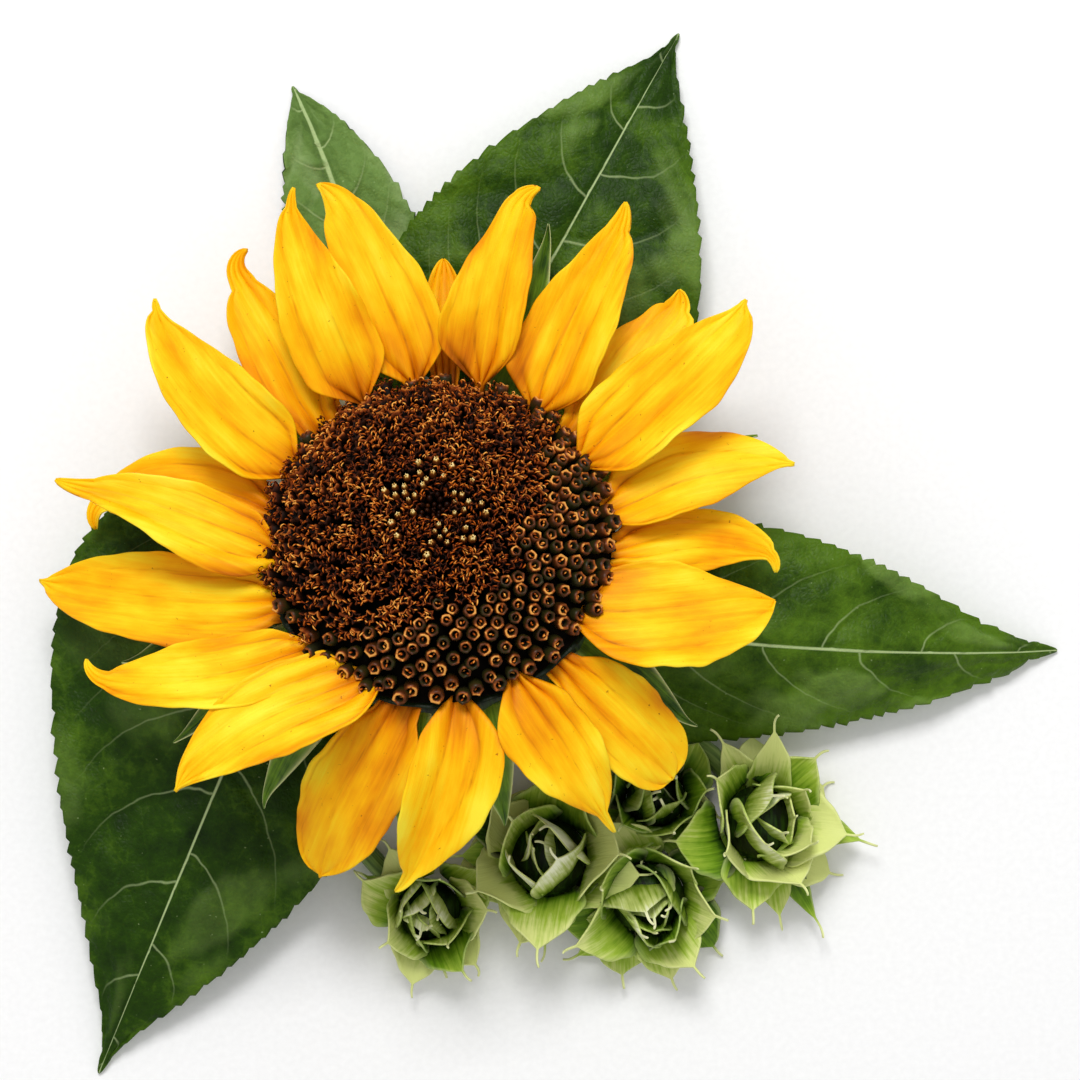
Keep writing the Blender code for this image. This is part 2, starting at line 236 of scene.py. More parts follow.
ROOM_LIGHT = 0.61
soft_light("window_box", (-90, 540, 820), 6.2, 340)
world = bpy.data.worlds.new("white_room")
bpy.context.scene.world = world
world.use_nodes = True
world.node_tree.nodes["Background"].inputs["Color"].default_value = linear("#FFFFFF")
world.node_tree.nodes["Background"].inputs["Strength"].default_value = ROOM_LIGHT
print("the room gives", ROOM_LIGHT, "of full white from every side")

# %% Camera
CAMERA_HEIGHT = 800
VIEW_WIDTH = 194.4
SENSOR = 36.0
# From the middle of the solid model, in mm.
CAMERA_X, CAMERA_Y = -2.2, 2.4
centre = (low + high) / 2
camera_data = bpy.data.cameras.new("camera")
camera_data.sensor_width = SENSOR
camera_data.lens = SENSOR * CAMERA_HEIGHT / VIEW_WIDTH
camera = bpy.data.objects.new("camera", camera_data)
bpy.context.scene.collection.objects.link(camera)
camera.location = ((centre[0] + CAMERA_X) * MM, (centre[1] + CAMERA_Y) * MM, CAMERA_HEIGHT * MM)
bpy.context.scene.camera = camera
bpy.context.scene.view_settings.view_transform = "Standard"
print("lens", round(camera_data.lens, 1), "mm")

# %% [markdown]
# ## A blade on a bending spine
#
# Petals, bracts and leaves grow alike: a midline that leaves its seat at some angle and bends on
# the way, and a width that swells and runs out to a tip. So one function serves them all. It gives
# the middle surface as a grid of points, and the directions to add folds and veins along.


# %% The spine
BASE_TURN = 0.2
CURL_FROM = 0.84


def spine(t, length, rise, droop, aim, sweep, roll=0.0, curl=(0.0, 0.0), shoulder=0.0):
    """Midline points, sideways and upward directions at the shares t of the length.

    The angle above level is rise - droop t^1.5 + shoulder exp(-t / 0.05), and the angle to the side
    is aim + sweep t; past CURL_FROM both also turn by curl. Points are the running sum of the
    directions between. The sideways direction starts square to X and has turned with the midline
    from BASE_TURN on. Roll then tips both directions round the midline, more towards the tip.
    """
    late = np.clip((t - CURL_FROM) / (1 - CURL_FROM), 0, 1) ** 1.3
    up_angle = np.radians(rise - droop * t ** 1.5 + curl[0] * late + shoulder * np.exp(-t / 0.05))
    side_angle = np.radians(aim + sweep * t + curl[1] * late)
    along = np.stack([np.cos(up_angle) * np.cos(side_angle), np.cos(up_angle) * np.sin(side_angle),
                      np.sin(up_angle)], -1)
    steps = (along[1:] + along[:-1]) * 0.5 * length * np.diff(t)[:, None]
    points = np.concatenate([np.zeros((1, 3)), np.cumsum(steps, axis=0)])
    across = np.radians(aim * np.minimum(t / BASE_TURN, 1) + sweep * t + curl[1] * late)
    side = np.stack([-np.sin(across), np.cos(across), np.zeros_like(t)], -1)
    up = unit(np.cross(along, side))
    tipped = np.radians(roll * t)[:, None]
    return (points, side * np.cos(tipped) + up * np.sin(tipped),
            up * np.cos(tipped) - side * np.sin(tipped))


# %% The outline
FOOT = 0.1
TIP_HALF_WIDTH = 0.14


def outline(s, full, drawn, tail=0.0):
    """A half-width from 1 at its widest to 0 at u = 1: (u + FOOT)^full (1 - u)^drawn, over its peak.

    u = s / (1 - tail), so that the last share of the length is left for a thin tail.
    """
    u = np.clip(s / (1 - tail), 0, 1)
    widest = max((full - drawn * FOOT) / (full + drawn), 0.0)
    peak = (widest + FOOT) ** full * (1 - widest) ** drawn
    return (u + FOOT) ** full * (1 - u) ** drawn / peak


# %% The blade
def blade(s, v, length, bend, left, right, cup=0.0, fold=(0.0, 0.0), curl=(0.0, 0.0), ripple=0.0,
          tail=(0.0, 0.0), shoulder=0.0):
    """The middle surface of a blade as points[s, v], its half-widths, and its side and up directions.

    s runs 0 to 1 from base to tip and v from -1 at the right edge to 1 at the left. A point is the
    midline plus side v w cos(fold) plus up (cup v^2 w - |v| w sin(fold)), where w is the half-width;
    ripple adds to w as a share of it. left and right are (half-width, full, drawn), and w gains
    TIP_HALF_WIDTH s so that a tip never closes to nothing. The tail is (share of the length,
    half-width): it starts inside the blade and narrows as (1 - s)^0.7.
    """
    points, side, up = spine(s, length, *bend, curl=curl, shoulder=shoulder)
    share, thin = tail
    grown = np.clip((s - 1 + 3 * share) / (2 * share + 0.01), 0, 1) ** 2
    strip = thin * grown * ((1 - s) / (share + 0.01)) ** 0.7
    widths = [w * outline(s, full, drawn, share) + TIP_HALF_WIDTH * s + strip
              for w, full, drawn in (right, left)]
    half = np.where(v[None] < 0, widths[0][:, None], widths[1][:, None]) * (1 + ripple)
    tip_down = np.radians(np.where(v < 0, fold[1], fold[0]))[None]
    out = v[None] * half * np.cos(tip_down)
    lift = cup * v[None] ** 2 * half - np.abs(v[None]) * half * np.sin(tip_down)
    side = side[:, None] + np.zeros((1, len(v), 1))
    up = up[:, None] + np.zeros((1, len(v), 1))
    return points[:, None] + side * out[..., None] + up * lift[..., None], half, side, up


# %% The head's own frame
HEAD_CENTRE = np.array([-19.5, 2.3, 30.0])
HEAD_LEAN = 24.0
HEAD_LEAN_TO = 97.0
PETAL_SEAT = 29.6


def turn_z(degrees):
    """The matrix that turns points round Z."""
    c = math.cos(math.radians(degrees))
    s = math.sin(math.radians(degrees))
    return np.array([[c, -s, 0], [s, c, 0], [0, 0, 1]])


def lean(degrees, towards):
    """The matrix that leans +Z by an angle towards a direction on the table."""
    c = math.cos(math.radians(degrees))
    s = math.sin(math.radians(degrees))
    return turn_z(towards) @ np.array([[c, 0, s], [0, 1, 0], [-s, 0, c]]) @ turn_z(-towards)


HEAD_TURN = lean(HEAD_LEAN, HEAD_LEAN_TO)


def on_head(points):
    """Points of the head's frame, where +Z is the way the flower faces, placed over the table."""
    return points @ HEAD_TURN.T + HEAD_CENTRE


def on_rim(points, round_head, depth):
    """A blade's points, seated on the receptacle's wall at an angle round the head."""
    seated = points + np.array([PETAL_SEAT, 0.0, -depth])
    return on_head(seated @ turn_z(round_head).T)


print("the head faces", np.round(HEAD_TURN[:, 2], 2))

# %% [markdown]
# ## Finish: a ray petal
#
# A ray petal is a thin, slightly waxy membrane. Its yellow is carotene, thin at the tip and dense at
# the base, where it turns orange; brown shade is painted into the folds and at the foot. Fine veins run
# its whole length. The surface gives each point three values to read: how deep in a fold it is, how near
# the base, and how far it swells, which paints the swells paler as highlight and the hollows deeper as
# shade; and its place in mm, so that the streaks follow the petal wherever it bends.

# %% Petal finishes
def petal_finish(name, shades, crease_shade_colour):
    """A petal's colour: painted highlight on the swells and painted shade in the hollows, orange turning to
    painted brown shade at the foot, and painted shade lines in creases.
    """
    material, tree, shader = finish(name, {"Roughness": 0.5, "Specular IOR Level": 0.10,
                                           "Subsurface Weight": 0.08, "Subsurface Scale": 0.001})
    place = add(tree, "ShaderNodeAttribute", attribute_name="place", out="Vector")
    tone = add(tree, "ShaderNodeAttribute", attribute_name="tone", out="Vector")
    crease, base, swell = (add(tree, "ShaderNodeSeparateXYZ", {0: tone}, out=axis) for axis in "XYZ")
    # Veins are 0.3 mm apart, drawn about 0.7 mm apart so that they show; each runs on for 20 mm.
    stretched = add(tree, "ShaderNodeMapping", {"Vector": place, "Scale": (1.5, 0.05, 1.0)})
    streak = add(tree, "ShaderNodeTexNoise", {"Vector": stretched, "Scale": 1.0, "Detail": 4.0,
                                              "Roughness": 0.65})
    # Bands of thinner and thicker membrane, 5 mm wide and 14 mm long.
    banded = add(tree, "ShaderNodeMapping", {"Vector": place, "Scale": (0.2, 0.07, 1.0)})
    band = add(tree, "ShaderNodeTexNoise", {"Vector": banded, "Scale": 1.0, "Detail": 3.0})
    # base: the petal's own orange near the foot, which the darkest stops of the ramp turn brown as painted
    # shade.
    mixed = add(tree, "ShaderNodeMath", {0: base, 1: 0.64, 2: 0.18}, operation="MULTIPLY_ADD")
    # swell paints light and shade: paler on the swells as highlight, deeper orange in the hollows as shade.
    for value, share in ((streak, 0.36), (band, 0.80), (swell, -0.60)):
        mixed = add(tree, "ShaderNodeMath", {0: value, 1: share, 2: mixed}, operation="MULTIPLY_ADD")
    colour = add(tree, "ShaderNodeValToRGB", {0: mixed}, stops=shades)
    # A crease holds a thin brown line of painted shade, broken up along its length.
    broken = add(tree, "ShaderNodeMath", {0: crease, 1: streak}, operation="MULTIPLY")
    crease_shade_line = add(tree, "ShaderNodeMapRange", {"Value": broken, "From Min": 0.10, "From Max": 0.46,
                                            "To Max": 0.72})
    colour = add(tree, "ShaderNodeMix", {0: crease_shade_line, 6: colour, 7: crease_shade_colour}, out=2, data_type="RGBA")
    # Small brown flecks, where the membrane was bruised.
    fleck = add(tree, "ShaderNodeTexNoise", {"Vector": place, "Scale": 0.8, "Detail": 3.0,
                                             "Roughness": 0.7})
    bruised = add(tree, "ShaderNodeMapRange", {"Value": fleck, "From Min": 0.67, "From Max": 0.73,
                                               "To Max": 0.8})
    colour = add(tree, "ShaderNodeMix", {0: bruised, 6: colour, 7: "#9A5606"}, out=2, data_type="RGBA")
    tree.links.new(colour, shader.inputs["Base Color"])
    bump = add(tree, "ShaderNodeBump", {"Height": streak, "Strength": 0.6, "Distance": 0.00018})
    tree.links.new(bump, shader.inputs["Normal"])
    return material


# A thin wet membrane full of yellow carotene: saturated, a little see-through, with a satin sheen.
petal_face = petal_finish("ray_petal_carotene_face", [
    (0.18, "#FFE638"), (0.36, "#FFD01A"), (0.50, "#FDB906"), (0.66, "#F09A02"), (0.84, "#CC7000"),
    (1.0, "#8E4400")],
    "#B06000")
# The back has less pigment and raised veins, so it looks duller and a shade greener.
petal_back = petal_finish("ray_petal_matt_back", [
    (0.18, "#F8D836"), (0.38, "#F0BE1C"), (0.56, "#E2A00A"), (0.74, "#C87C04"), (1.0, "#864A04")],
    "#A05E04")

# %% [markdown]
# ## The ray petals
#
# Each petal keeps the folds it had in the bud: a few long creases with finer pleats between, which are
# deep at the narrow base and fade where the blade is widest. Drying waves the edges and curls the
# tip. The table holds what differs from petal to petal; a seeded generator adds the small accidents.

# %% The petals' own numbers
PETAL_DEPTHS = (0.9, 2.2, 3.5)
PETAL_THICKNESS = 0.3
PETALS = (
    # round, length, left, right, level, rise, droop, aim, sweep, roll, left point, right point, curl up,
    # curl side, tail share, tail width, fold left, fold right, warmth
    (76, 40, 8.3, 5.8, 0, 40, 22, 6, -14, 0, 1.0, 0.6, 10, -80, 0.10, 2.0, -6, -6, 0.14),
    (54, 42, 8.6, 8.6, 1, 32, 18, 15, -12, 0, 1.1, 0.7, 10, 30, 0.12, 2.2, -8, -14, 0.08),
    (38, 35, 7.5, 7, 2, 18, 14, 14, 0, 0, 0.8, 0.6, 30, 50, 0.10, 2.6, -6, 4, 0.04),
    (29, 41, 8, 10, 0, 28, 14, 4, 12, 0, 1.0, 0.55, 0, 10, 0.03, 0.6, -4, -10, 0.00),
    (9, 35, 8.6, 7, 1, 10, 20, 24, -34, 0, 0.8, 1.0, 0, -6, 0.03, 0.5, 8, -4, -0.02),
    (354, 33, 6.8, 6.5, 2, -6, 24, 32, -40, 0, 0.7, 1.0, -10, -80, 0.10, 1.3, 6, 0, 0.06),
    (328, 34, 8.6, 11.2, 0, 2, 20, 39, 4, 0, 1.15, 0.6, 0, -10, 0.0, 0.0, 0, 6, 0.01),
    (312, 31, 8, 7.4, 2, -28, 26, 15, -6, 0, 0.4, 0.45, 0, 0, 0.0, 0.0, 0, 0, 0.04),
    (298, 33, 6.4, 9.4, 0, -22, 38, 8, 2, 0, 0.7, 1.1, 0, 10, 0.14, 0.9, 6, -6, -0.02),
    (277, 38, 9.4, 6.8, 1, -24, 36, -9, -44, -24, 1.0, 0.8, 10, -30, 0.14, 1.3, -12, -22, -0.05),
    (259, 40, 9, 8.5, 2, -36, 32, -23, -10, 0, 0.8, 0.5, 0, 14, 0.02, 0.4, 0, -6, 0.20),
    (249, 40, 8, 8, 0, 2, 28, -62, 36, 0, 0.9, 0.9, 0, 10, 0.02, 0.3, 0, -4, -0.01),
    (225, 45, 6.8, 7.2, 1, -4, 20, -24, -42, 0, 0.9, 0.8, 20, -60, 0.14, 1.7, -6, 0, 0.00),
    (203, 48, 8.2, 8.2, 2, -10, 14, -27, -18, 0, 0.7, 0.7, 0, -8, 0.03, 0.6, 4, -6, 0.10),
    (187, 41, 7.4, 6.2, 0, 20, 22, -34, 20, 0, 1.0, 0.9, -6, -20, 0.16, 2.0, 0, 0, -0.02),
    (171, 40, 6.5, 7.5, 2, 6, 50, -26, 54, 0, 0.8, 0.8, -20, 90, 0.18, 2.4, 0, 0, 0.06),
    (153, 41, 8.2, 7.4, 1, 34, 18, -3, -30, 0, 0.7, 1.0, 20, -30, 0.05, 0.7, -6, -2, -0.04),
    (135, 39, 7.4, 7.6, 2, 28, 14, -15, 0, 0, 0.7, 1.0, 20, -120, 0.20, 2.4, -6, 6, 0.08),
    (118, 42.5, 8.2, 7.6, 0, 42, 20, 5, -20, 0, 0.8, 1.0, 10, -36, 0.08, 0.9, -4, 4, 0.05),
    (99, 43, 8.5, 7.6, 1, 34, 14, 4, 26, 0, 0.8, 0.9, 40, 60, 0.14, 3.2, 5, -6, 0.00),
    (89, 24.5, 4.2, 4.2, 2, 26, 14, 2, 0, 0, 0.7, 0.7, 0, 0, 0.0, 0.0, 0, 0, 0.12),
)


# %% Folds of a petal
def petal_folds(s, v, rng):
    """Height in mm over the smooth blade, and how deep in a fold each point is, 0 to 1.

    The petal is ribbed into panels that swell between sharp creases: |sin(pi p)|^0.8, where p counts
    the panels across and wanders with s, and twice as many finer pleats lie over them. Their depth,
    0.75 exp(-(s / 0.45)^2) + 0.26 + 0.8 max(s - 0.75, 0), is largest at the base and gathers again at
    the tip. Each edge waves on its own, and one slow bulge dents the whole blade.
    """
    s, v = s[:, None], v[None]
    wander = [rng.uniform(0, 1) for _ in range(6)]
    panels = rng.uniform(2.6, 4.4)
    p = panels * (v + 1) / 2 + wander[0] + 0.22 * np.sin(math.tau * (0.7 * s + wander[1])) * (1 - v ** 2)
    strong = 0.45 + 0.55 * np.sin(math.tau * (0.37 * np.floor(p) + wander[2])) ** 2
    depth = 0.75 * np.exp(-(s / 0.45) ** 2) + 0.26 + 0.8 * np.clip(s - 0.75, 0, 1)
    depth = depth * np.clip(s / 0.03, 0, 1)
    height = 1.25 * strong * np.abs(np.sin(math.pi * p)) ** 0.8 * depth
    height = height + 0.10 * np.abs(np.sin(math.pi * (2 * p + 0.3))) * depth * (1 - v ** 4)
    for sign, shift in ((-1, wander[3]), (1, wander[4])):
        wave = np.sin(math.tau * ((1.1 + shift) * s + 3.1 * shift))
        height = height + 0.8 * np.clip(sign * v, 0, 1) ** 2.5 * wave * np.sin(math.pi * s)
    slow = np.sin(math.tau * (0.8 * s + wander[5])) * np.cos(math.pi * v * 0.8)
    height = height + 0.5 * slow * np.sin(math.pi * s)
    crease = np.exp(-np.abs(p - np.round(p)) / 0.07) * np.clip(0.1 + depth, 0, 1) * (0.3 + 0.7 * strong)
    return height, crease


# %% One petal
PETAL_ROWS, PETAL_COLUMNS = 73, 39
# Share of the widening past the claw that its foot already has, for the upper, middle and lower row.
CLAW_WIDTHS = (0.10, 0.18, 0.50)
SHOULDER = 62.0
FULL = 0.7
# In mm: the claw's length, what it gains towards where the head leans, the length it opens over, and
# how far its foot is drawn in.
CLAW = 0.4
CLAW_HIGH = 3.2
CLAW_OPENS = 7.0
FOOT_INWARDS = 3.3


def make_petal(number, row):
    """One ray petal: the blade, its folds, and the attributes its finish reads.

    Past the claw its width opens as sin(pi / 2 d / CLAW_OPENS), with d in mm past the claw. Near
    the foot its edges drop by 1.1 exp(-(s / 0.07)^2) v^2, and the foot is drawn in under the florets.
    """
    (turn, length, left, right, level, rise, droop, aim, sweep, roll, left_point, right_point, up_curl,
     side_curl, tail, tail_width, *fold, warmth) = row
    rng = np.random.default_rng(100 + number)
    s = np.linspace(0, 1, PETAL_ROWS) ** 1.2
    v = np.linspace(-1, 1, PETAL_COLUMNS)
    ragged = [sum(size * np.sin(math.tau * (rate * s[:, None] + rng.uniform(0, 1)))
                  for rate, size in ((1.3, 0.03), (3.1, 0.02), (7.3, 0.012))) for _ in range(2)]
    ripple = np.where(v[None] > 0, *ragged) * np.sin(math.pi * s[:, None])
    claw = CLAW + CLAW_HIGH * max(math.cos(math.radians(turn - HEAD_LEAN_TO)), 0)
    past_claw = s * length - claw
    narrow = np.sin(math.pi / 2 * np.clip(past_claw / CLAW_OPENS, CLAW_WIDTHS[level], 1))[:, None]
    ripple = (1 + ripple) * narrow - 1
    points, half, _, up = blade(s, v, length, (rise, droop, aim, sweep, roll), (left, FULL, left_point),
                                   (right, FULL, right_point), cup=0.14, fold=fold, ripple=ripple,
                                   curl=(up_curl, side_curl), tail=(tail, tail_width), shoulder=SHOULDER)
    height, crease = petal_folds(s, v, rng)
    drop_ends = -1.1 * np.exp(-(s[:, None] / 0.07) ** 2) * v[None] ** 2
    points = points + up * (height + drop_ends)[..., None]
    points[..., 0] -= FOOT_INWARDS * np.clip(1 - s / 0.3, 0, 1)[:, None] ** 2
    # base: orange pigment near the foot, deepest at the foot as painted brown shade under the florets.
    base = np.exp(-np.clip(past_claw, 0, None) / 5.5)[:, None] + warmth
    return make_sheet(f"petal_{number:02d}", on_rim(points, turn, PETAL_DEPTHS[level]), PETAL_THICKNESS,
                      [petal_face, petal_back], "petal", [f"ray_{number:02d}"],
                      tone=triples(crease, base, 0.5 + 0.3 * height),
                      place=triples(v[None] * half, s[:, None] * length, 40.0 * number))


petals = [make_petal(number, row) for number, row in enumerate(PETALS, start=1)]
print(len(petals), "petals,", sum(2 * len(p.data.polygons) for p in petals), "triangles")

# %% [markdown]
# ## The disc of florets
#
# Florets are laid down one after another at the golden angle, 137.5 degrees on from the last, which
# is what draws the crossing spirals. Their distance from the middle grows as a power of their
# number: the youngest, in the middle, stand closer than the oldest at the rim.
#
# Every floret of a kind is the same stack of rings, so one array holds them all at once. Those at
# the rim are open five-toothed tubes; those further in are crowded with curled styles; and in the
# middle they are still shut, with pale tips round a dark hollow.

# %% Where the florets stand
DISC_RADIUS = 29.6
DISC_HEIGHT = 16.0
FLORET_RIM = 31.4
FLORETS = 630
SPREAD = 0.72
GOLDEN_ANGLE = math.radians(137.508)
# On a triangular grid of n points per square mm, neighbours are 1.07 / sqrt(n) apart.
GRID_GAP = 1.07
number = np.arange(FLORETS) + 0.5
rng = np.random.default_rng(5)
floret_turn = number * GOLDEN_ANGLE + rng.normal(0, 0.011, FLORETS)
floret_reach = FLORET_RIM * (number / FLORETS) ** SPREAD + rng.normal(0, 0.13, FLORETS)
density = FLORETS / (math.tau * SPREAD * FLORET_RIM ** 2) * (floret_reach / FLORET_RIM) ** (1 / SPREAD - 2)
floret_gap = GRID_GAP / np.sqrt(density)
print("floret spacing from", round(floret_gap[20], 1), "to", round(floret_gap[-1], 1), "mm")


def disc_surface(reach):
    """The height of the disc's surface, half an ellipse with a dimple in its middle, and its slope.

    The dimple, 2.6 exp(-(reach / 3.4)^2) mm, is left out of the slope.
    """
    share = np.clip(reach / DISC_RADIUS, 0, 0.985)
    height = DISC_HEIGHT * np.sqrt(1 - share ** 2) - 2.6 * np.exp(-(reach / 3.4) ** 2)
    slope = DISC_HEIGHT * share / (DISC_RADIUS * np.sqrt(1 - share ** 2))
    return height, slope


# %% Which way each floret points
def stand(turn, reach, sink, lean_share, rng, jitter):
    """Foot, axis and two cross directions of florets: the axis leans out by a share of the slope."""
    height, slope = disc_surface(reach)
    tilt = lean_share * np.arctan(slope)
    out = np.stack([np.cos(turn), np.sin(turn), np.zeros_like(turn)], -1)
    axis = out * np.sin(tilt)[:, None] + np.array([0, 0, 1]) * np.cos(tilt)[:, None]
    axis = unit(axis + rng.normal(0, jitter, axis.shape))
    top = out * reach[:, None] + np.array([0, 0, 1]) * height[:, None]
    first = unit(np.cross(axis, np.stack([-np.sin(turn), np.cos(turn), np.full_like(turn, 0.01)], -1)))
    return top - axis * np.asarray(sink)[..., None], axis, first, np.cross(axis, first)


def rings_on(stands, radii, heights, angles):
    """Rings round many axes at once: foot + axis h + first r cos(a) + second r sin(a)."""
    foot, axis, first, second = (part[:, None, None] for part in stands)
    radii, heights = np.broadcast_arrays(radii, heights)
    return (foot + axis * heights[..., None] + first * (radii * np.cos(angles))[..., None]
            + second * (radii * np.sin(angles))[..., None])


# %% Floret finishes
def floret_finish(name, shades, shift, settings):
    """A floret's colour runs along a ramp with its tone, pushed by a random share for each floret."""
    material, tree, shader = finish(name, settings)
    tone = add(tree, "ShaderNodeAttribute", attribute_name="tone", out="Vector")
    mixed, own = (add(tree, "ShaderNodeSeparateXYZ", {0: tone}, out=axis) for axis in "XY")
    place = add(tree, "ShaderNodeTexCoord", out="Object")
    # Cells are 0.05 mm; the mottling is drawn at 0.5 mm, which is the smallest that shows.
    mottle = add(tree, "ShaderNodeTexNoise", {"Vector": place, "Scale": 2000.0, "Detail": 2.0})
    for value, share in ((own, shift), (mottle, 0.24)):
        mixed = add(tree, "ShaderNodeMath", {0: value, 1: share, 2: mixed}, operation="MULTIPLY_ADD")
    mixed = add(tree, "ShaderNodeMath", {0: mixed, 1: 0.12}, operation="SUBTRACT")
    colour = add(tree, "ShaderNodeValToRGB", {0: mixed}, stops=shades)
    tree.links.new(colour, shader.inputs["Base Color"])
    return material


waxy = {"Roughness": 0.40, "Specular IOR Level": 0.16}
dry = {"Roughness": 0.6, "Specular IOR Level": 0.10}
# Nothing but shade reaches the florets' bases: near black, so that the florets stand out.
bed_finish = floret_finish("shadowed_floret_bases", [
    (0.0, "#030201"), (0.4, "#100903"), (1.0, "#2A1A08")], 0.2,
    {"Roughness": 0.9, "Specular IOR Level": 0.05})
# Waxy green-brown corollas, rusty at the lip, with a soft glint on each rim painted as a paler crescent; near
# black inside the mouth and at the foot as painted shade.
open_tube_finish = floret_finish("open_corolla_olive_and_rust", [
    (0.0, "#030200"), (0.30, "#15130A"), (0.50, "#2A280C"), (0.64, "#42200A"), (0.80, "#6E3610"),
    (0.92, "#A8581C"), (1.0, "#E09C48")],
    0.12, waxy)
# Withered corollas: dry brown tissue, dull, and rust where it thins; near black inside and at the foot as
# painted shade, with a paler crescent on the lip as a painted glint.
brown_tube_finish = floret_finish("ripe_corolla_rust_brown", [
    (0.0, "#030101"), (0.35, "#120703"), (0.60, "#321405"), (0.82, "#84390E"), (1.0, "#C0702A")], 0.18, dry)
# Styles dusted with pollen: rust-orange threads, painted dark at the foot as shade and pale on top of each
# curl as highlight, which give the disc its sparkle.
style_finish = floret_finish("curled_style_rust_orange", [
    (0.0, "#060200"), (0.35, "#2A0E02"), (0.58, "#7A2E06"), (0.78, "#C86414"), (1.0, "#F8B050")], 0.30, dry)
# Shut corollas, whose waxy straw-coloured tips show as pale dots, with a paler crescent on each as a painted
# glint; near black at the foot as painted shade.
bud_tip_finish = floret_finish("shut_corolla_straw_tip", [
    (0.0, "#040201"), (0.40, "#2C1206"), (0.62, "#7A3C10"), (0.80, "#D8A850"), (1.0, "#FFE49C")], 0.10, waxy)

# %% The dark bed under the florets
BED_SIDES = 96
BED_RADIUS = 29.9
BED_SINK = 4.0
BED_FLOOR = -1.0
bed_angles = np.linspace(0, math.tau, BED_SIDES + 1)[:-1]
bed_reach = np.linspace(BED_RADIUS, 0.4, 30)
bed_height = disc_surface(bed_reach)[0] - BED_SINK
bed_reach = np.concatenate([[0.4, BED_RADIUS], bed_reach])
bed_height = np.concatenate([[BED_FLOOR, BED_FLOOR], np.maximum(bed_height, BED_FLOOR + 0.4)])
bed = np.stack([bed_reach[:, None] * np.cos(bed_angles), bed_reach[:, None] * np.sin(bed_angles),
                bed_height[:, None] + 0.25 * np.cos(24 * bed_angles)], -1)
make_piece("disc_bed", on_head(bed), tube_faces(len(bed), BED_SIDES), [bed_finish], "disc",
           ["disc_florets"], tone=np.array([0.12, 0.0, 0.0]))
print("the bed under the florets is", 2 * BED_RADIUS, "mm across")

# %% Kinds of floret
# Florets open from the rim inwards, and furthest in towards SUNNY, an angle round the head in degrees.
SUNNY = -44
rng = np.random.default_rng(7)
sunny_side = np.cos(floret_turn - math.radians(SUNNY))
ripe_from = 16.5 + 12.0 * np.clip(0.7 - sunny_side, 0, 1) - 1.5 * sunny_side
edge_share = np.clip((floret_reach - ripe_from) / 4.0, 0, 1)
is_young = floret_reach < 3.0
is_tip = (floret_reach > 3.4) & (floret_reach < 9.4) & (rng.uniform(0, 1, FLORETS) < 0.42)
is_open = (floret_reach > 9.8) & (rng.uniform(0, 1, FLORETS) < edge_share)
is_brown = ~is_young & ~is_tip & ~is_open
floret_shade = rng.uniform(-1, 1, FLORETS) - 0.9 * np.exp(-(floret_reach / 12) ** 2)
print([int(kind.sum()) for kind in (is_young, is_tip, is_brown, is_open)], "youngest, shut, brown, open")

SIDES = 10
tube_angles = np.arange(SIDES) * math.tau / SIDES
five_teeth = np.cos(5 * tube_angles)


def make_florets(name, chosen, material, profile, sink, lean_share, jitter, teeth, seed):
    """All florets of one kind, from a profile of (radius, height, tooth, tone) rings; gives their stands.

    Radii are shares of the spacing. A ring's radius and height also swing with the five teeth, each
    floret stands up to 0.45 mm higher or lower, and one side of a pale lip is painted paler as a glint.
    """
    rng = np.random.default_rng(seed)
    stands = stand(floret_turn[chosen], floret_reach[chosen], sink, lean_share, rng, jitter)
    radius, height, tooth, tone = (np.array(part)[None, :, None] for part in zip(*profile))
    count = chosen.sum()
    size = (floret_gap[chosen] * rng.uniform(0.9, 1.08, count))[:, None, None]
    radii = radius * size * (1 + tooth * five_teeth * teeth)
    heights = height + np.abs(tooth) * five_teeth * 0.16 + rng.uniform(-0.45, 0.45, (count, 1, 1))
    points = rings_on(stands, radii, heights, tube_angles + rng.uniform(0, 1, (count, 1, 1)))
    # A painted glint: a pale lip is lighter on one side, at a random angle.
    worn = 0.20 * (tone > 0.7) * np.cos(tube_angles + rng.uniform(0, math.tau, (count, 1, 1)))
    tones = triples(tone + 0.06 * tooth * five_teeth + worn, floret_shade[chosen][:, None, None], 0.0)
    faces = tube_faces(len(profile), SIDES, count)
    make_piece(name, on_head(points), faces, [material], "disc", tone=tones)
    print(name, 2 * len(faces), "triangles")
    return stands


# %% Open tubes at the rim
# The tone column is painted shade, near black, at the foot and deep in the mouth; then the olive wall and the
# rust lip.
OPEN_PROFILE = ((0.38, 0.4, 0, 0.18), (0.49, 2.9, 0, 0.49), (0.46, 3.6, 0.1, 0.55),
                (0.39, 4.15, 0.8, 0.80), (0.29, 4.15, 0.7, 0.84), (0.22, 3.7, 0, 0.50),
                (0.15, 2.8, 0, 0.0))
open_stands = make_florets("open_florets", is_open, open_tube_finish, OPEN_PROFILE, 4.2, 0.75, 0.08, 0.06, 11)

# %% Brown tubes between
# Tones: near black at the foot and inside as painted shade, rust at the lip.
BROWN_PROFILE = ((0.28, 0.2, 0, 0.10), (0.40, 1.8, 0, 0.24), (0.43, 2.9, 0.2, 0.40), (0.42, 3.6, 1, 0.66),
                 (0.33, 3.9, 1.4, 0.84), (0.24, 3.7, 1, 0.40), (0.18, 2.6, 0, 0.0))
brown_stands = make_florets("brown_florets", is_brown, brown_tube_finish, BROWN_PROFILE, 4.2, 0.85, 0.16,
                            0.26, 12)

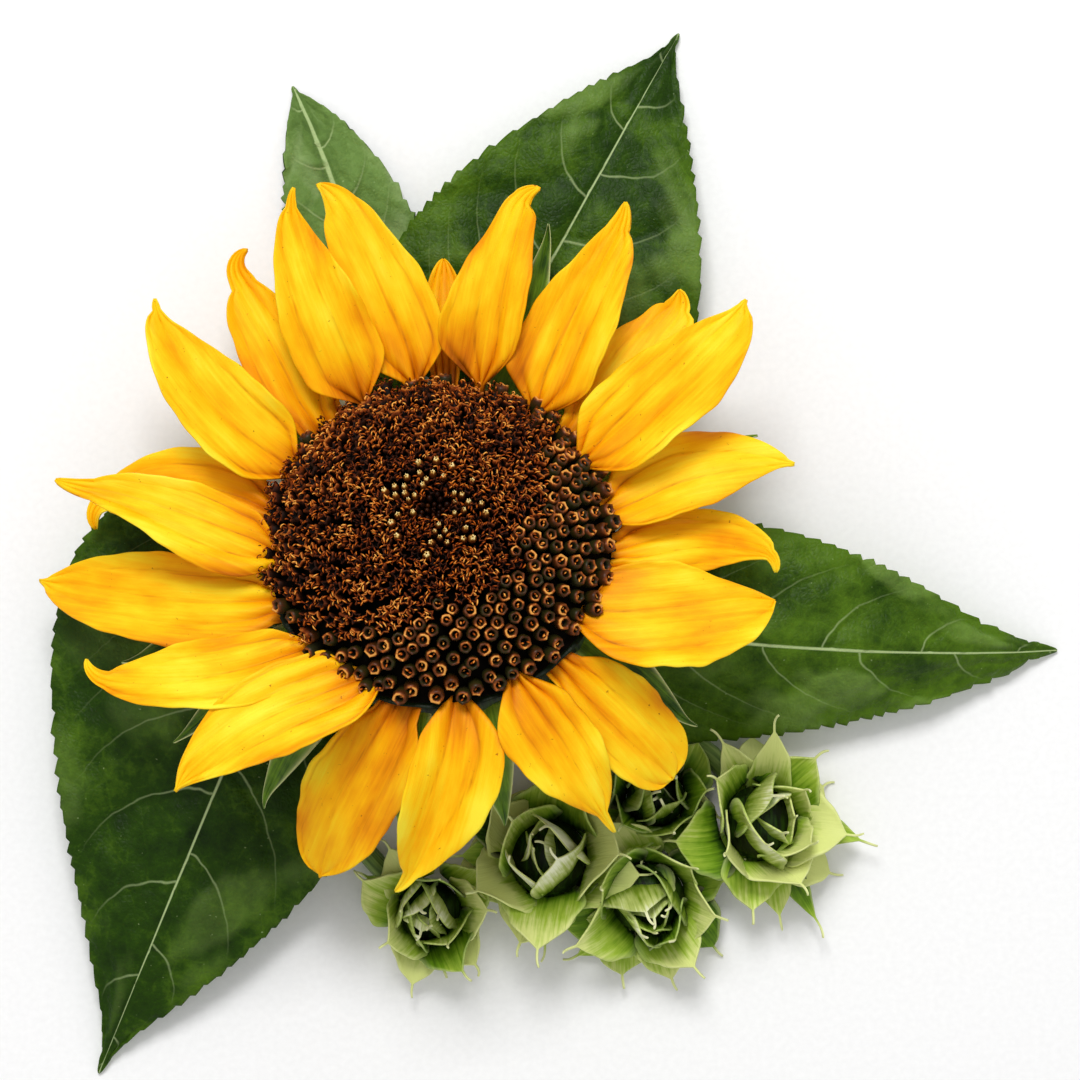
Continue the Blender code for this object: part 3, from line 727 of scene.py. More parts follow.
# %% Shut florets in the middle
# Tones: near black at the foot as painted shade, pale at the tip.
TIP_PROFILE = ((0.30, 0.6, 0, 0.12), (0.42, 2.4, 0, 0.30), (0.40, 3.3, 0, 0.50), (0.26, 3.9, 0.3, 0.66),
               (0.17, 4.4, 1, 1.0), (0.08, 4.4, 1, 1.0), (0.05, 4.1, 0, 0.1))
make_florets("shut_florets", is_tip, bud_tip_finish, TIP_PROFILE, 4.0, 0.9, 0.05, 0.22, 13)
# Tones: darkest at the foot as painted shade.
DARK_PROFILE = ((0.26, 0.4, 0, 0.12), (0.40, 1.8, 0, 0.20), (0.40, 2.9, 0, 0.34), (0.24, 3.5, 0.5, 0.46),
                (0.06, 3.6, 0, 0.44))
make_florets("youngest_florets", is_young, bud_tip_finish, DARK_PROFILE, 4.0, 0.9, 0.08, 0.2, 14)

# %% Curled styles
STYLE_RINGS, STYLE_SIDES = 8, 4


def make_styles(name, stands, spread, shade, start, arms, coil, thickness, seed):
    """Style arms: each runs up and curls over in a circle of radius coil, c (1 - cos a) out, c sin a up.

    spread is how far from its floret's axis an arm may stand and shade its tone, one value per floret.
    """
    rng = np.random.default_rng(seed)
    foot, axis, first, second = (np.repeat(part, arms, axis=0) for part in stands)
    count = len(foot)
    spin = np.arange(count) * math.pi + np.repeat(rng.uniform(0, math.tau, count // arms), arms)
    spin = spin + rng.normal(0, 0.5, count)
    out = first * np.cos(spin)[:, None] + second * np.sin(spin)[:, None]
    side = np.cross(axis, out)
    radius = coil * rng.uniform(0.6, 1.35, count)
    bend = np.linspace(0, 1, STYLE_RINGS)[None] * np.radians(rng.uniform(150, 290, count))[:, None]
    aside = rng.uniform(0, math.tau, count)
    away = np.repeat(spread, arms) * np.sqrt(rng.uniform(0, 1, count))
    foot = foot + first * (away * np.cos(aside))[:, None] + second * (away * np.sin(aside))[:, None]
    path = (foot + axis * (start + rng.uniform(-1.0, 0.5, count))[:, None])[:, None]
    path = path + out[:, None] * (radius[:, None] * (1 - np.cos(bend)))[..., None]
    path = path + axis[:, None] * (radius[:, None] * np.sin(bend))[..., None]
    outward = -out[:, None] * np.cos(bend)[..., None] + axis[:, None] * np.sin(bend)[..., None]
    angles = np.arange(STYLE_SIDES) * math.tau / STYLE_SIDES
    thick = thickness * np.linspace(1.1, 0.7, STYLE_RINGS)[None, :, None]
    points = (path[:, :, None] + outward[:, :, None] * (thick * np.cos(angles))[..., None]
              + side[:, None, None] * (thick * np.sin(angles))[..., None])
    # Painted light: an arm is dark at its foot as shade, and paler at the top of its curl and on its outer
    # side as highlight.
    painted_light = 0.20 + 0.55 * np.clip(np.sin(bend), 0, 1)[..., None] + 0.10 * np.clip(np.cos(angles), -1, 1)
    own = 0.7 * rng.uniform(-1, 1, count) + 0.7 * np.repeat(shade, arms)
    tones = triples(painted_light, own[:, None, None], 0.0)
    faces = tube_faces(STYLE_RINGS, STYLE_SIDES, count)[:, ::-1]
    make_piece(name, on_head(points), faces, [style_finish], "disc", tone=tones)
    print(name, 2 * len(faces), "triangles")


make_styles("curled_styles", brown_stands, 0.5 * floret_gap[is_brown], floret_shade[is_brown], 4.2, 6, 0.42,
            0.125, 15)
make_styles("withered_styles", open_stands, 0.10 * floret_gap[is_open], np.full(is_open.sum(), 0.2), 3.7, 2,
            0.24, 0.16, 16)

# %% [markdown]
# ## Finish: leaves
#
# A sunflower leaf is dark, rough and faintly waxy above, and pale and dull below, where its veins
# stand out. The geometry stores for each point a running vein number, so the shader can draw a thin
# line wherever that number is whole, however the leaf bends; a cell pattern makes the fine network.


# %% Leaf finishes
def leaf_finish(name, shades, painted_sheen_colour, vein_colour, midrib, side_vein, settings):
    """A leaf's colour: green mottling, grey-green painted sheen on the swells, pale midrib and hair-thin side
    veins.
    """
    material, tree, shader = finish(name, settings)
    place = add(tree, "ShaderNodeAttribute", attribute_name="place", out="Vector")
    veins = add(tree, "ShaderNodeAttribute", attribute_name="veins", out="Vector")
    tone = add(tree, "ShaderNodeAttribute", attribute_name="tone", out="Vector")
    number, per_mm, margin = (add(tree, "ShaderNodeSeparateXYZ", {0: veins}, out=axis) for axis in "XYZ")
    off_middle, rib_width = (add(tree, "ShaderNodeSeparateXYZ", {0: place}, out=axis) for axis in "XZ")
    painted_sheen, own = (add(tree, "ShaderNodeSeparateXYZ", {0: tone}, out=axis) for axis in "XY")
    # A side vein wanders a little on its way.
    sway = add(tree, "ShaderNodeTexNoise", {"Vector": place, "Scale": 0.16, "Detail": 2.0})
    number = add(tree, "ShaderNodeMath", {0: sway, 1: 0.16, 2: number}, operation="MULTIPLY_ADD")
    # Side veins are 0.4 mm wide by the midrib and are lost before the margin.
    nearest = add(tree, "ShaderNodeMath", {0: number, 1: 0.5}, operation="PINGPONG")
    away = add(tree, "ShaderNodeMath", {0: nearest, 1: per_mm}, operation="DIVIDE")
    width = add(tree, "ShaderNodeMapRange", {"Value": margin, "To Min": 0.34, "To Max": 0.16})
    away = add(tree, "ShaderNodeMath", {0: away, 1: width}, operation="DIVIDE")
    strength = add(tree, "ShaderNodeMapRange", {"Value": margin, "From Min": 0.1, "From Max": 0.9,
                                                "To Min": side_vein, "To Max": 0.0})
    line = add(tree, "ShaderNodeMapRange", {"Value": away, "To Min": strength, "To Max": 0.0},
               interpolation_type="SMOOTHSTEP")
    # The midrib is 1 mm wide at the base and thins out to the tip: place.z holds what is left of it.
    ratio = add(tree, "ShaderNodeMath", {0: off_middle, 1: rib_width}, operation="DIVIDE")
    ratio = add(tree, "ShaderNodeMath", {0: ratio}, operation="ABSOLUTE")
    rib = add(tree, "ShaderNodeMapRange", {"Value": ratio, "From Min": 0.08, "From Max": 0.33,
                                           "To Min": midrib, "To Max": 0.0},
              interpolation_type="SMOOTHSTEP")
    pale = add(tree, "ShaderNodeMath", {0: line, 1: rib}, operation="MAXIMUM")
    # The finest veins close cells of under 1 mm, each domed a little, which makes the leaf feel rough.
    where = add(tree, "ShaderNodeTexCoord", out="Object")
    cells = add(tree, "ShaderNodeTexVoronoi", {"Vector": where, "Scale": 1150.0}, feature="DISTANCE_TO_EDGE")
    cloud = add(tree, "ShaderNodeTexNoise", {"Vector": where, "Scale": 90.0, "Detail": 8.0,
                                             "Roughness": 0.72})
    cloud = add(tree, "ShaderNodeMath", {0: cloud, 1: own}, operation="ADD")
    # The third order of veins closes fields of about 4 mm, seen as faint paler lines.
    fields = add(tree, "ShaderNodeTexVoronoi", {"Vector": where, "Scale": 240.0, "Randomness": 0.9},
                 feature="DISTANCE_TO_EDGE")
    net = add(tree, "ShaderNodeMapRange", {"Value": fields, "From Min": 0.01, "From Max": 0.07,
                                           "To Min": 0.035, "To Max": 0.0})
    cloud = add(tree, "ShaderNodeMath", {0: cloud, 1: net}, operation="ADD")
    green = add(tree, "ShaderNodeValToRGB", {0: cloud}, stops=shades)
    # Painted sheen: paler grey-green patches on the swells, broken up by noise.
    patchy = add(tree, "ShaderNodeTexNoise", {"Vector": where, "Scale": 240.0, "Detail": 8.0,
                                              "Roughness": 0.75})
    painted_sheen = add(tree, "ShaderNodeMath", {0: painted_sheen, 1: patchy}, operation="MULTIPLY")
    green = add(tree, "ShaderNodeMix", {0: painted_sheen, 6: green, 7: painted_sheen_colour}, out=2, data_type="RGBA")
    colour = add(tree, "ShaderNodeMix", {0: pale, 6: green, 7: vein_colour}, out=2, data_type="RGBA")
    # Scattered pale flecks of dust and broken hairs.
    fleck = add(tree, "ShaderNodeTexNoise", {"Vector": where, "Scale": 1300.0, "Detail": 1.0})
    dusty = add(tree, "ShaderNodeMapRange", {"Value": fleck, "From Min": 0.76, "From Max": 0.84,
                                             "To Max": 0.4})
    colour = add(tree, "ShaderNodeMix", {0: dusty, 6: colour, 7: vein_colour}, out=2, data_type="RGBA")
    tree.links.new(colour, shader.inputs["Base Color"])
    dome = add(tree, "ShaderNodeMapRange", {"Value": cells, "From Max": 0.35})
    swell = add(tree, "ShaderNodeMapRange", {"Value": fields, "From Max": 0.25, "To Max": 1.3})
    dome = add(tree, "ShaderNodeMath", {0: dome, 1: swell}, operation="ADD")
    bump = add(tree, "ShaderNodeBump", {"Height": dome, "Strength": 0.5, "Distance": 0.00012})
    tree.links.new(bump, shader.inputs["Normal"])
    return material


# Waxed cuticle over dark flesh: deep green with a low, broken gloss, and paler patches painted on the swells
# as sheen.
leaf_top = leaf_finish("leaf_upper_side_waxy_green", [
    (0.28, "#0C2000"), (0.5, "#223E00"), (0.74, "#4C6C10")], "#7C9A48", "#B4C68C", 0.85, 0.46,
    {"Roughness": 0.46, "Specular IOR Level": 0.12, "Subsurface Weight": 0.03, "Subsurface Scale": 0.001})
# Felt of short hairs: it scatters light, so the under side looks pale and has no gloss; paler patches are
# painted on its swells as sheen.
leaf_under = leaf_finish("leaf_under_side_downy_pale", [
    (0.25, "#4A6628"), (0.5, "#62803A"), (0.75, "#829C5A")], "#9EB27C", "#B0C488", 0.75, 0.70,
    {"Roughness": 0.62, "Specular IOR Level": 0.15, "Sheen Weight": 0.10, "Sheen Roughness": 0.5})

# %% [markdown]
# ## The leaves
#
# The blade of a leaf is one sheet with a toothed edge. Between the side veins it swells like a
# quilt, and along the veins it is drawn in, so light breaks over it in patches; its swells are also
# painted paler as sheen. Below, the midrib and the side veins are real ridges. A petiole carries
# each blade from the stem.

# %% The leaves' own numbers
LEAF_THICKNESS = 0.45
LEAVES = {
    # bend is rise, droop, aim and sweep; left and right are half-width in mm and two outline powers;
    # tail is the share of the length drawn out to the tip, and its half-width in mm; a flipped leaf
    # lies with its under side up; one value sets how strongly its swells are painted paler as sheen
    "leaf_01": dict(base=(-31, 36, 4.6), heading=100, length=51, bend=(2, 16.8, 0, 16), fold=(4, 4),
                    left=(12.5, 0.4, 0.8), right=(12.5, 0.4, 0.8),
                    veins=5, flipped=True, shade=-0.08, painted_sheen=0.5, tail=(0.03, 0.6)),
    "leaf_02": dict(base=(-14, 27, 8), heading=61, length=77, bend=(4, 24, 0, 0), fold=(0, 0),
                    left=(25.5, 0.5, 1.15), right=(31, 0.5, 1.15),
                    veins=6, flipped=False, shade=0.03, painted_sheen=0.8, tail=(0.03, 0.8)),
    "leaf_03": dict(base=(10, -13, 18), heading=-2, length=84, bend=(0, 30.4, -6, 10), fold=(6, 32),
                    left=(21, 0.6, 1.1), right=(24.5, 0.05, 0.66),
                    veins=5, flipped=False, shade=0.13, painted_sheen=0.8, tail=(0.07, 1.8)),
    "leaf_04": dict(base=(-43, -3, 14), heading=247, length=100, bend=(2, 24.7, 0, 0), fold=(6, 8),
                    left=(26.5, 0.65, 1.1), right=(40, 0.37, 1.2),
                    veins=6, flipped=False, shade=-0.03, painted_sheen=0.40, tail=(0.04, 1.2)),
}
LEAF_ROWS_PER_MM = 2.5
LEAF_COLUMNS = 65
TOOTH = 2.9
TOOTH_HEIGHT = 1.35
VEIN_RUN = 0.42
# How far a petiole runs on under its blade, in mm.
INTO_BLADE = 6.5
PETIOLE_RINGS, PETIOLE_SIDES = 60, 20
SMALL_GIRTH = 1.6


# %% Veins and teeth
def vein_numbers(s, v, veins):
    """A number that is whole along every side vein: veins u^0.85, with u = (s - c) / (1 - c).

    c = VEIN_RUN |v|^1.5 carries a vein that leaves the midrib at u forwards to the margin, ever more
    steeply. The left side's veins start between the right side's.
    """
    carried = VEIN_RUN * np.abs(v) ** 1.5
    start = (s - carried) / (1 - carried)
    return veins * np.sign(start) * np.abs(start) ** 0.85 + np.where(v > 0, 0.35, 0.0)


def teeth(s, length, rng):
    """How far the margin stands out, in mm: a saw that rises towards the tip and drops, tooth by tooth."""
    step = s * length / TOOTH + rng.uniform(0, 1) + 0.6 * np.sin(math.tau * (2.3 * s + rng.uniform(0, 1)))
    tooth = np.floor(step).astype(int)
    size = rng.uniform(0.15, 1.0, tooth.max() + 3)
    fade = np.clip(s / 0.12, 0, 1) * np.clip((1 - s) / 0.18, 0, 1)
    return TOOTH_HEIGHT * size[tooth] * ((step - tooth) ** 0.8 - 0.5) * fade


# %% Petioles
def through(knots, count):
    """count points on a smooth Catmull-Rom curve that passes through every knot."""
    knots = np.array(knots, dtype=float)
    step = np.linspace(0, len(knots) - 1, count)
    at = np.minimum(step.astype(int), len(knots) - 2)
    t = (step - at)[:, None]
    before, start, end, after = (knots[np.clip(at + k, 0, len(knots) - 1)] for k in (-1, 0, 1, 2))
    return 0.5 * (2 * start + (end - before) * t + (2 * before - 5 * start + 4 * end - after) * t ** 2
                  + (3 * start - before - 3 * end + after) * t ** 3)


def tube(path, radius, sides, ribs=0, rib_height=0.0):
    """Rings square to a path; the ring's radius is radius (1 + rib_height cos(ribs a))."""
    tangent = unit(np.gradient(path, axis=0))
    side = unit(np.cross([0.0, 0.0, 1.0], tangent))
    up = np.cross(tangent, side)
    angles = np.arange(sides) * math.tau / sides
    ring = np.asarray(radius).reshape(-1, 1) * (1 + rib_height * np.cos(ribs * angles))[None]
    return (path[:, None] + side[:, None] * (ring * np.cos(angles))[..., None]
            + up[:, None] * (ring * np.sin(angles))[..., None])


PETIOLE_ROUTES = {
    "leaf_01": ((-38.5, -20, 4.4), (-40.5, -8, 4.2), (-38.5, 12, 4.0), (-34, 27, 4.2)),
    "leaf_02": ((-31, -11.5, 6.2), (-30.5, -3, 5.0), (-26, 9, 5.2), (-19, 19, 6.6)),
    "leaf_03": ((-20.5, -17, 6.2), (-11, -17, 6.6), (0, -14.5, 11)),
    "leaf_04": ((-28.8, -8.6, 9.2), (-33, -2.5, 9.8), (-38, -0.6, 12)),
}


# %% Stem finish
def stem_finish(name, shades):
    """A ribbed green stem: lengthwise strands of lighter green, and a fine down that softens its edge."""
    material, tree, shader = finish(name, {"Roughness": 0.55, "Specular IOR Level": 0.4,
                                           "Sheen Weight": 0.25, "Sheen Roughness": 0.4})
    place = add(tree, "ShaderNodeAttribute", attribute_name="place", out="Vector")
    # Strands are 0.4 mm wide and run on for 12 mm.
    long = add(tree, "ShaderNodeMapping", {"Vector": place, "Scale": (2.4, 0.08, 1.0)})
    strand = add(tree, "ShaderNodeTexNoise", {"Vector": long, "Scale": 1.0, "Detail": 3.0})
    colour = add(tree, "ShaderNodeValToRGB", {0: strand}, stops=shades)
    tree.links.new(colour, shader.inputs["Base Color"])
    bump = add(tree, "ShaderNodeBump", {"Height": strand, "Strength": 0.5, "Distance": 0.0003})
    tree.links.new(bump, shader.inputs["Normal"])
    return material


# Fleshy skin over fibres: mid green with paler ribs and a dull gloss.
stem_green = stem_finish("ribbed_stem_green", [(0.3, "#44611F"), (0.5, "#6C8A38"), (0.7, "#93AC58")])


def make_stalk(name, path, radius, sides, ribs, rib_height, girth, replaced=()):
    """A ribbed stalk along a path; its strands are laid out round a circle of radius girth."""
    run = np.concatenate([[0], np.cumsum(np.linalg.norm(np.diff(path, axis=0), axis=1))])
    place = triples(np.arange(sides)[None] / sides * math.tau * girth, run[:, None], 0.0)
    make_piece(name, tube(path, radius, sides, ribs, rib_height), tube_faces(len(path), sides),
               [stem_green], "stem", replaced, place=place)


# %% Relief of a leaf
def leaf_relief(s, v, half, away, phase, rng):
    """Height in mm over the smooth leaf, its large swells alone, and how near each point is to a vein.

    Between the side veins the leaf swells as 4 p (1 - p), where p is the share of the way from vein
    to vein; slow sines of a s + b v buckle the whole; midrib and side veins are drawn in.
    """
    s, v = s[:, None], v[None]
    body = np.sin(math.pi * s) ** 0.8
    buckle = sum(size * np.sin(math.tau * (a * s + b * v + rng.uniform(0, 1))) for a, b, size in
                 ((1.3, 0.45, 1.0), (2.2, -0.8, 0.7), (3.7, 1.2, 0.5), (8.3, 2.1, 0.22), (11.0, -3.2, 0.16)))
    buckle = buckle * body * np.clip(np.abs(v) * 3, 0, 1)
    quilt = 4 * phase * (1 - phase) * (1 - np.abs(v) ** 3) * (1 - np.exp(-np.abs(v * half) / 2.5))
    rib_width = 1.3 * (1 - s) ** 0.8 + 0.35
    channel = np.exp(-(v * half / rib_width) ** 2)
    groove = np.exp(-(away / 0.5) ** 2) * (1 - v ** 2)
    height = 0.60 * quilt * body + 0.55 * buckle - 0.20 * groove * body - 0.45 * channel * body
    return height, buckle, rib_width, channel, groove


# %% One leaf
def make_leaf(order, name, leaf):
    """A leaf's blade, with its petiole as a piece of its own.

    Its finish reads three triples: veins is the running vein number, how fast that runs per mm, and
    the share of the way to the margin; place is mm off the midrib, mm along, and the midrib's width;
    tone is the painted sheen on the swells and the leaf's own shade, paler by 0.10 v^4 at the margin.
    """
    rng = np.random.default_rng(300 + order)
    length = leaf["length"]
    rows = int(length * LEAF_ROWS_PER_MM)
    s = np.linspace(0, 1, rows)
    x = np.linspace(-1, 1, LEAF_COLUMNS)
    v = np.sign(x) * np.abs(x) ** 1.25
    points, half, side, up = blade(s, v, length, (*leaf["bend"], 0), leaf["left"], leaf["right"],
                                   fold=leaf["fold"], tail=leaf["tail"])
    left_teeth, right_teeth = teeth(s, length, rng), teeth(s, length, rng)
    out = np.where(v[None] > 0, left_teeth[:, None], right_teeth[:, None])
    points = points + side * (np.sign(v) * np.abs(v) ** 7 * out)[..., None]
    numbers = vein_numbers(s[:, None], v[None], leaf["veins"])
    slope_rows = np.gradient(numbers, axis=0) * (rows - 1) / length
    slope_columns = np.gradient(numbers, axis=1) / np.maximum(np.gradient(v * half, axis=1), 0.02)
    per_mm = np.hypot(slope_rows, np.where(np.abs(v) < 0.04, 0, slope_columns))
    phase = numbers - np.floor(numbers)
    away = np.minimum(phase, 1 - phase) / per_mm
    height, buckle, rib_width, channel, groove = leaf_relief(s, v, half, away, phase, rng)
    left_over = 1 - s[:, None]
    under_rib = (0.75 * channel * left_over ** 0.5 + 0.28 * groove) * np.minimum(1, left_over * 8)
    if leaf["flipped"]:
        height = -height
    points = points + up * height[..., None]
    points = points @ turn_z(leaf["heading"]).T + np.array(leaf["base"])
    if leaf["flipped"]:
        points, half, numbers, per_mm, under_rib, buckle = (part[:, ::-1] for part in (
            points, half, numbers, per_mm, under_rib, buckle))
    heading = math.radians(leaf["heading"] + leaf["bend"][2])
    inside = np.array(leaf["base"]) + np.array([math.cos(heading), math.sin(heading), 0.0]) * INTO_BLADE
    make_petiole(name, (*PETIOLE_ROUTES[name], leaf["base"], tuple(inside)))
    return make_sheet(name + "_blade", points, LEAF_THICKNESS, [leaf_top, leaf_under], "leaf", [name],
                      under_rib, veins=triples(numbers, per_mm, np.abs(v)[None]),
                      place=triples(v[None] * half, s[:, None] * length, rib_width),
                      tone=triples(leaf["painted_sheen"] * np.clip(1.2 * buckle - 0.35, 0, 1.0),
                                   leaf["shade"] + 0.10 * np.abs(v)[None] ** 4, 0.0))


# %% Its petiole
def make_petiole(name, route):
    """The leaf's stalk, thickest at the stem, flattened into the blade's underside at its end."""
    path = through(route, PETIOLE_RINGS)
    radius = 1.75 - 0.35 * np.linspace(0, 1, PETIOLE_RINGS)
    radius[-8:] *= np.linspace(1, 0.5, 8)
    path[-14:, 2] -= np.linspace(0, 0.9, 14)
    path[:, 2] = np.maximum(path[:, 2], radius + 0.3)
    make_stalk(name + "_petiole", path, radius, PETIOLE_SIDES, 8, 0.06, SMALL_GIRTH)


leaf_pieces = [make_leaf(order, name, leaf) for order, (name, leaf) in enumerate(LEAVES.items())]
print("leaves:", [2 * len(p.data.polygons) for p in leaf_pieces], "triangles")

# %% [markdown]
# ## Receptacle, bracts and stem
#
# Behind the petals the head is a fleshy green plate, wrapped in bracts: short pointed leaves with
# long drawn-out tips. They show in the gaps between petals and carry the whole look of the back.


# %% Bract finishes
def bract_finish(name, shades, edge_colour):
    """A bract: lengthwise veins, a tone from the geometry, and a thin pale rim where the edge is dry; the
    tone carries painted shade at bud bract bases, in a bud's core and on the receptacle's rim.
    """
    material, tree, shader = finish(name, {"Roughness": 0.45, "Specular IOR Level": 0.2})
    place = add(tree, "ShaderNodeAttribute", attribute_name="place", out="Vector")
    tone = add(tree, "ShaderNodeAttribute", attribute_name="tone", out="Vector")
    mixed, edge = (add(tree, "ShaderNodeSeparateXYZ", {0: tone}, out=axis) for axis in "XZ")
    # Veins are 0.5 mm apart and run on for 8 mm.
    long = add(tree, "ShaderNodeMapping", {"Vector": place, "Scale": (1.9, 0.12, 1.0)})
    streak = add(tree, "ShaderNodeTexNoise", {"Vector": long, "Scale": 1.0, "Detail": 3.0, "Roughness": 0.6})
    cloud = add(tree, "ShaderNodeTexNoise", {"Vector": place, "Scale": 0.22, "Detail": 3.0})
    for value, share in ((streak, 0.55), (cloud, 0.45)):
        mixed = add(tree, "ShaderNodeMath", {0: value, 1: share, 2: mixed}, operation="MULTIPLY_ADD")
    colour = add(tree, "ShaderNodeValToRGB", {0: mixed}, stops=shades)
    colour = add(tree, "ShaderNodeMix", {0: edge, 6: colour, 7: edge_colour}, out=2, data_type="RGBA")
    tree.links.new(colour, shader.inputs["Base Color"])
    bump = add(tree, "ShaderNodeBump", {"Height": streak, "Strength": 0.6, "Distance": 0.0003})
    tree.links.new(bump, shader.inputs["Normal"])
    return material


# Young green tissue, smooth inside: fresh yellow-green with a slight gloss.
bract_inner = bract_finish("bract_inner_side_fresh_green", [
    (0.05, "#0A1602"), (0.28, "#2C4E08"), (0.52, "#6C9418"), (0.74, "#A4C040"), (0.95, "#DCE48C")], "#E0E6A0")
# The outer side is downy: a greyer and much paler green.
bract_outer = bract_finish("bract_outer_side_downy", [
    (0.05, "#101E03"), (0.28, "#3C5A0E"), (0.50, "#7A9226"), (0.72, "#BCC872"), (0.92, "#F2F4D0")], "#E8E8B8")

# %% Bracts round the head
BRACT_DEPTH = 4.9
# Half-width in mm, and the two powers of the outline.
HEAD_BRACT_SHAPE = (4.7, 0.35, 1.2)
HEAD_BRACT_ROWS, HEAD_BRACT_COLUMNS = 49, 17
BRACT_THICKNESS = 0.4
BRACTS = (
    # round, length, rise, droop, aim, sweep
    (69, 34, 22, 2, 4, 2), (46, 28, 8, 6, 0, 0), (20, 30, 0, 4, 0, 10), (350, 26, -22, 14, 0, 0),
    (328, 27, -30, 16, 0, 0), (306, 26, -42, 18, 0, 0), (284, 26, -48, 18, 0, 0), (260, 27, -50, 18, 0, 0),
    (232, 31, -42, 14, -6, 0), (214, 30, -24, 14, -4, 0), (193, 31, -16, 10, 10, -6),
    (166, 27, -4, 12, 0, 0), (143, 26, 6, 10, 0, 0), (108, 30, 22, 6, 0, 0),
)


def make_bract(number, row):
    """One bract of the head, with a keel along its middle and a long tip."""
    turn, length, rise, droop, aim, sweep = row
    rng = np.random.default_rng(500 + number)
    s = np.linspace(0, 1, HEAD_BRACT_ROWS)
    v = np.linspace(-1, 1, HEAD_BRACT_COLUMNS)
    points, half, _, up = blade(s, v, length, (rise, droop, aim, sweep, 0), HEAD_BRACT_SHAPE,
                                   HEAD_BRACT_SHAPE, cup=0.10,
                                   curl=(rng.uniform(-30, 50), rng.uniform(-40, 40)))
    keel = -0.25 * np.exp(-(v / 0.12) ** 2)[None]
    height = keel + 0.12 * np.cos(math.tau * 2.5 * v)[None] * (1 - s[:, None])
    height = height * np.minimum(s / 0.05, 1)[:, None]
    points = on_rim(points + up * height[..., None], turn, BRACT_DEPTH)
    tone = triples(rng.uniform(-0.10, 0.06) - 0.1 * s[:, None], s[:, None], np.abs(v)[None] ** 10)
    place = triples(v[None] * half, s[:, None] * length, 30.0 * number)
    make_sheet(f"head_bract_{number:02d}", points, BRACT_THICKNESS, [bract_inner, bract_outer],
               "bract", [f"bract_{number:02d}"], tone=tone, place=place)


for number, row in enumerate(BRACTS, start=1):
    make_bract(number, row)
print(len(BRACTS), "bracts round the head")

# %% Receptacle
RECEPTACLE_RADIUS = 30.3
RECEPTACLE_WALL = 5.6
RECEPTACLE_DEPTH = 12.0
PLATE_RINGS, PLATE_SIDES = 73, 160
STEM_RADIUS = 4.2
r = RECEPTACLE_RADIUS
plate_knots = [(0.3, 0, -1.6), (r - 2.2, 0, -1.6), (r - 0.8, 0, -2.4), (r, 0, -RECEPTACLE_WALL),
               (r - 2, 0, -RECEPTACLE_WALL - 1.4), (0.68 * r, 0, -0.80 * RECEPTACLE_DEPTH),
               (0.34 * r, 0, -0.94 * RECEPTACLE_DEPTH), (STEM_RADIUS, 0, -RECEPTACLE_DEPTH),
               (0.3, 0, -RECEPTACLE_DEPTH)]
plate_profile = through(plate_knots, PLATE_RINGS)
plate_angles = -np.arange(PLATE_SIDES) * math.tau / PLATE_SIDES
ridge = 1 + 0.010 * np.cos(28 * plate_angles)[None] * np.clip(-plate_profile[:, 2:] / 6, 0, 1)
plate = np.stack([plate_profile[:, :1] * np.cos(plate_angles)[None] * ridge,
                  plate_profile[:, :1] * np.sin(plate_angles)[None] * ridge,
                  plate_profile[:, 2:] + 0 * ridge], -1)
plate_place = triples(plate_angles[None] * 20, plate_profile[:, :1], 0.0)
# Painted shade: the plate is darkest at its top and rim, under the disc and petals, and lighter towards its
# back.
make_piece("receptacle_plate", on_head(plate), tube_faces(PLATE_RINGS, PLATE_SIDES), [bract_outer], "bract",
           ["receptacle"], place=plate_place,
           tone=triples(np.clip(-plate[..., 2] / RECEPTACLE_DEPTH - 0.75, -0.6, -0.12), 0, 0))
print("the receptacle is", 2 * RECEPTACLE_RADIUS, "mm across")

# %% Stem
STEM_RINGS, STEM_SIDES = 120, 48
STEM_ROUTE = ((-60, -53, 4.4), (-50, -42, 4.4), (-40, -30.5, 4.4), (-32, -21.5, 4.7),
              (-25.5, -14, 6.6), (-21.2, -8.8, 10.4), (-19, -5, 14.2), (-18.9, -2.7, 18.75))
stem_path = through(STEM_ROUTE, STEM_RINGS)
make_stalk("ribbed_stem", stem_path, STEM_RADIUS, STEM_SIDES, 12, 0.03, STEM_RADIUS, ["stem"])
print("the stem is", round(np.linalg.norm(np.diff(stem_path, axis=0), axis=1).sum()), "mm long")

# %% [markdown]
# The cut end is a ring of wet green strands round a white, foamy pith, which shrinks back a little as
# it dries. It is a shallow dish set on the end of the stem, and its colour runs with the radius.

# %% Cut end
END_SIDES = 40
# Radius, and how far out along the stem, of each ring.
PITH_RINGS = ((0.3, -0.9), (3.9, -0.9), (4.0, 0.05), (3.5, 0.16), (3.0, 0.08), (2.6, -0.14),
              (1.4, -0.30), (0.2, -0.34))
# Dry foam inside wet green strands: matt and nearly white, turning green at the rim.
pith_finish, pith_tree, pith_shader = finish("cut_stem_pith_and_strands", {"Roughness": 0.7})
pith_tone = add(pith_tree, "ShaderNodeAttribute", attribute_name="tone", out="Vector")
pith_radius = add(pith_tree, "ShaderNodeSeparateXYZ", {0: pith_tone}, out="X")
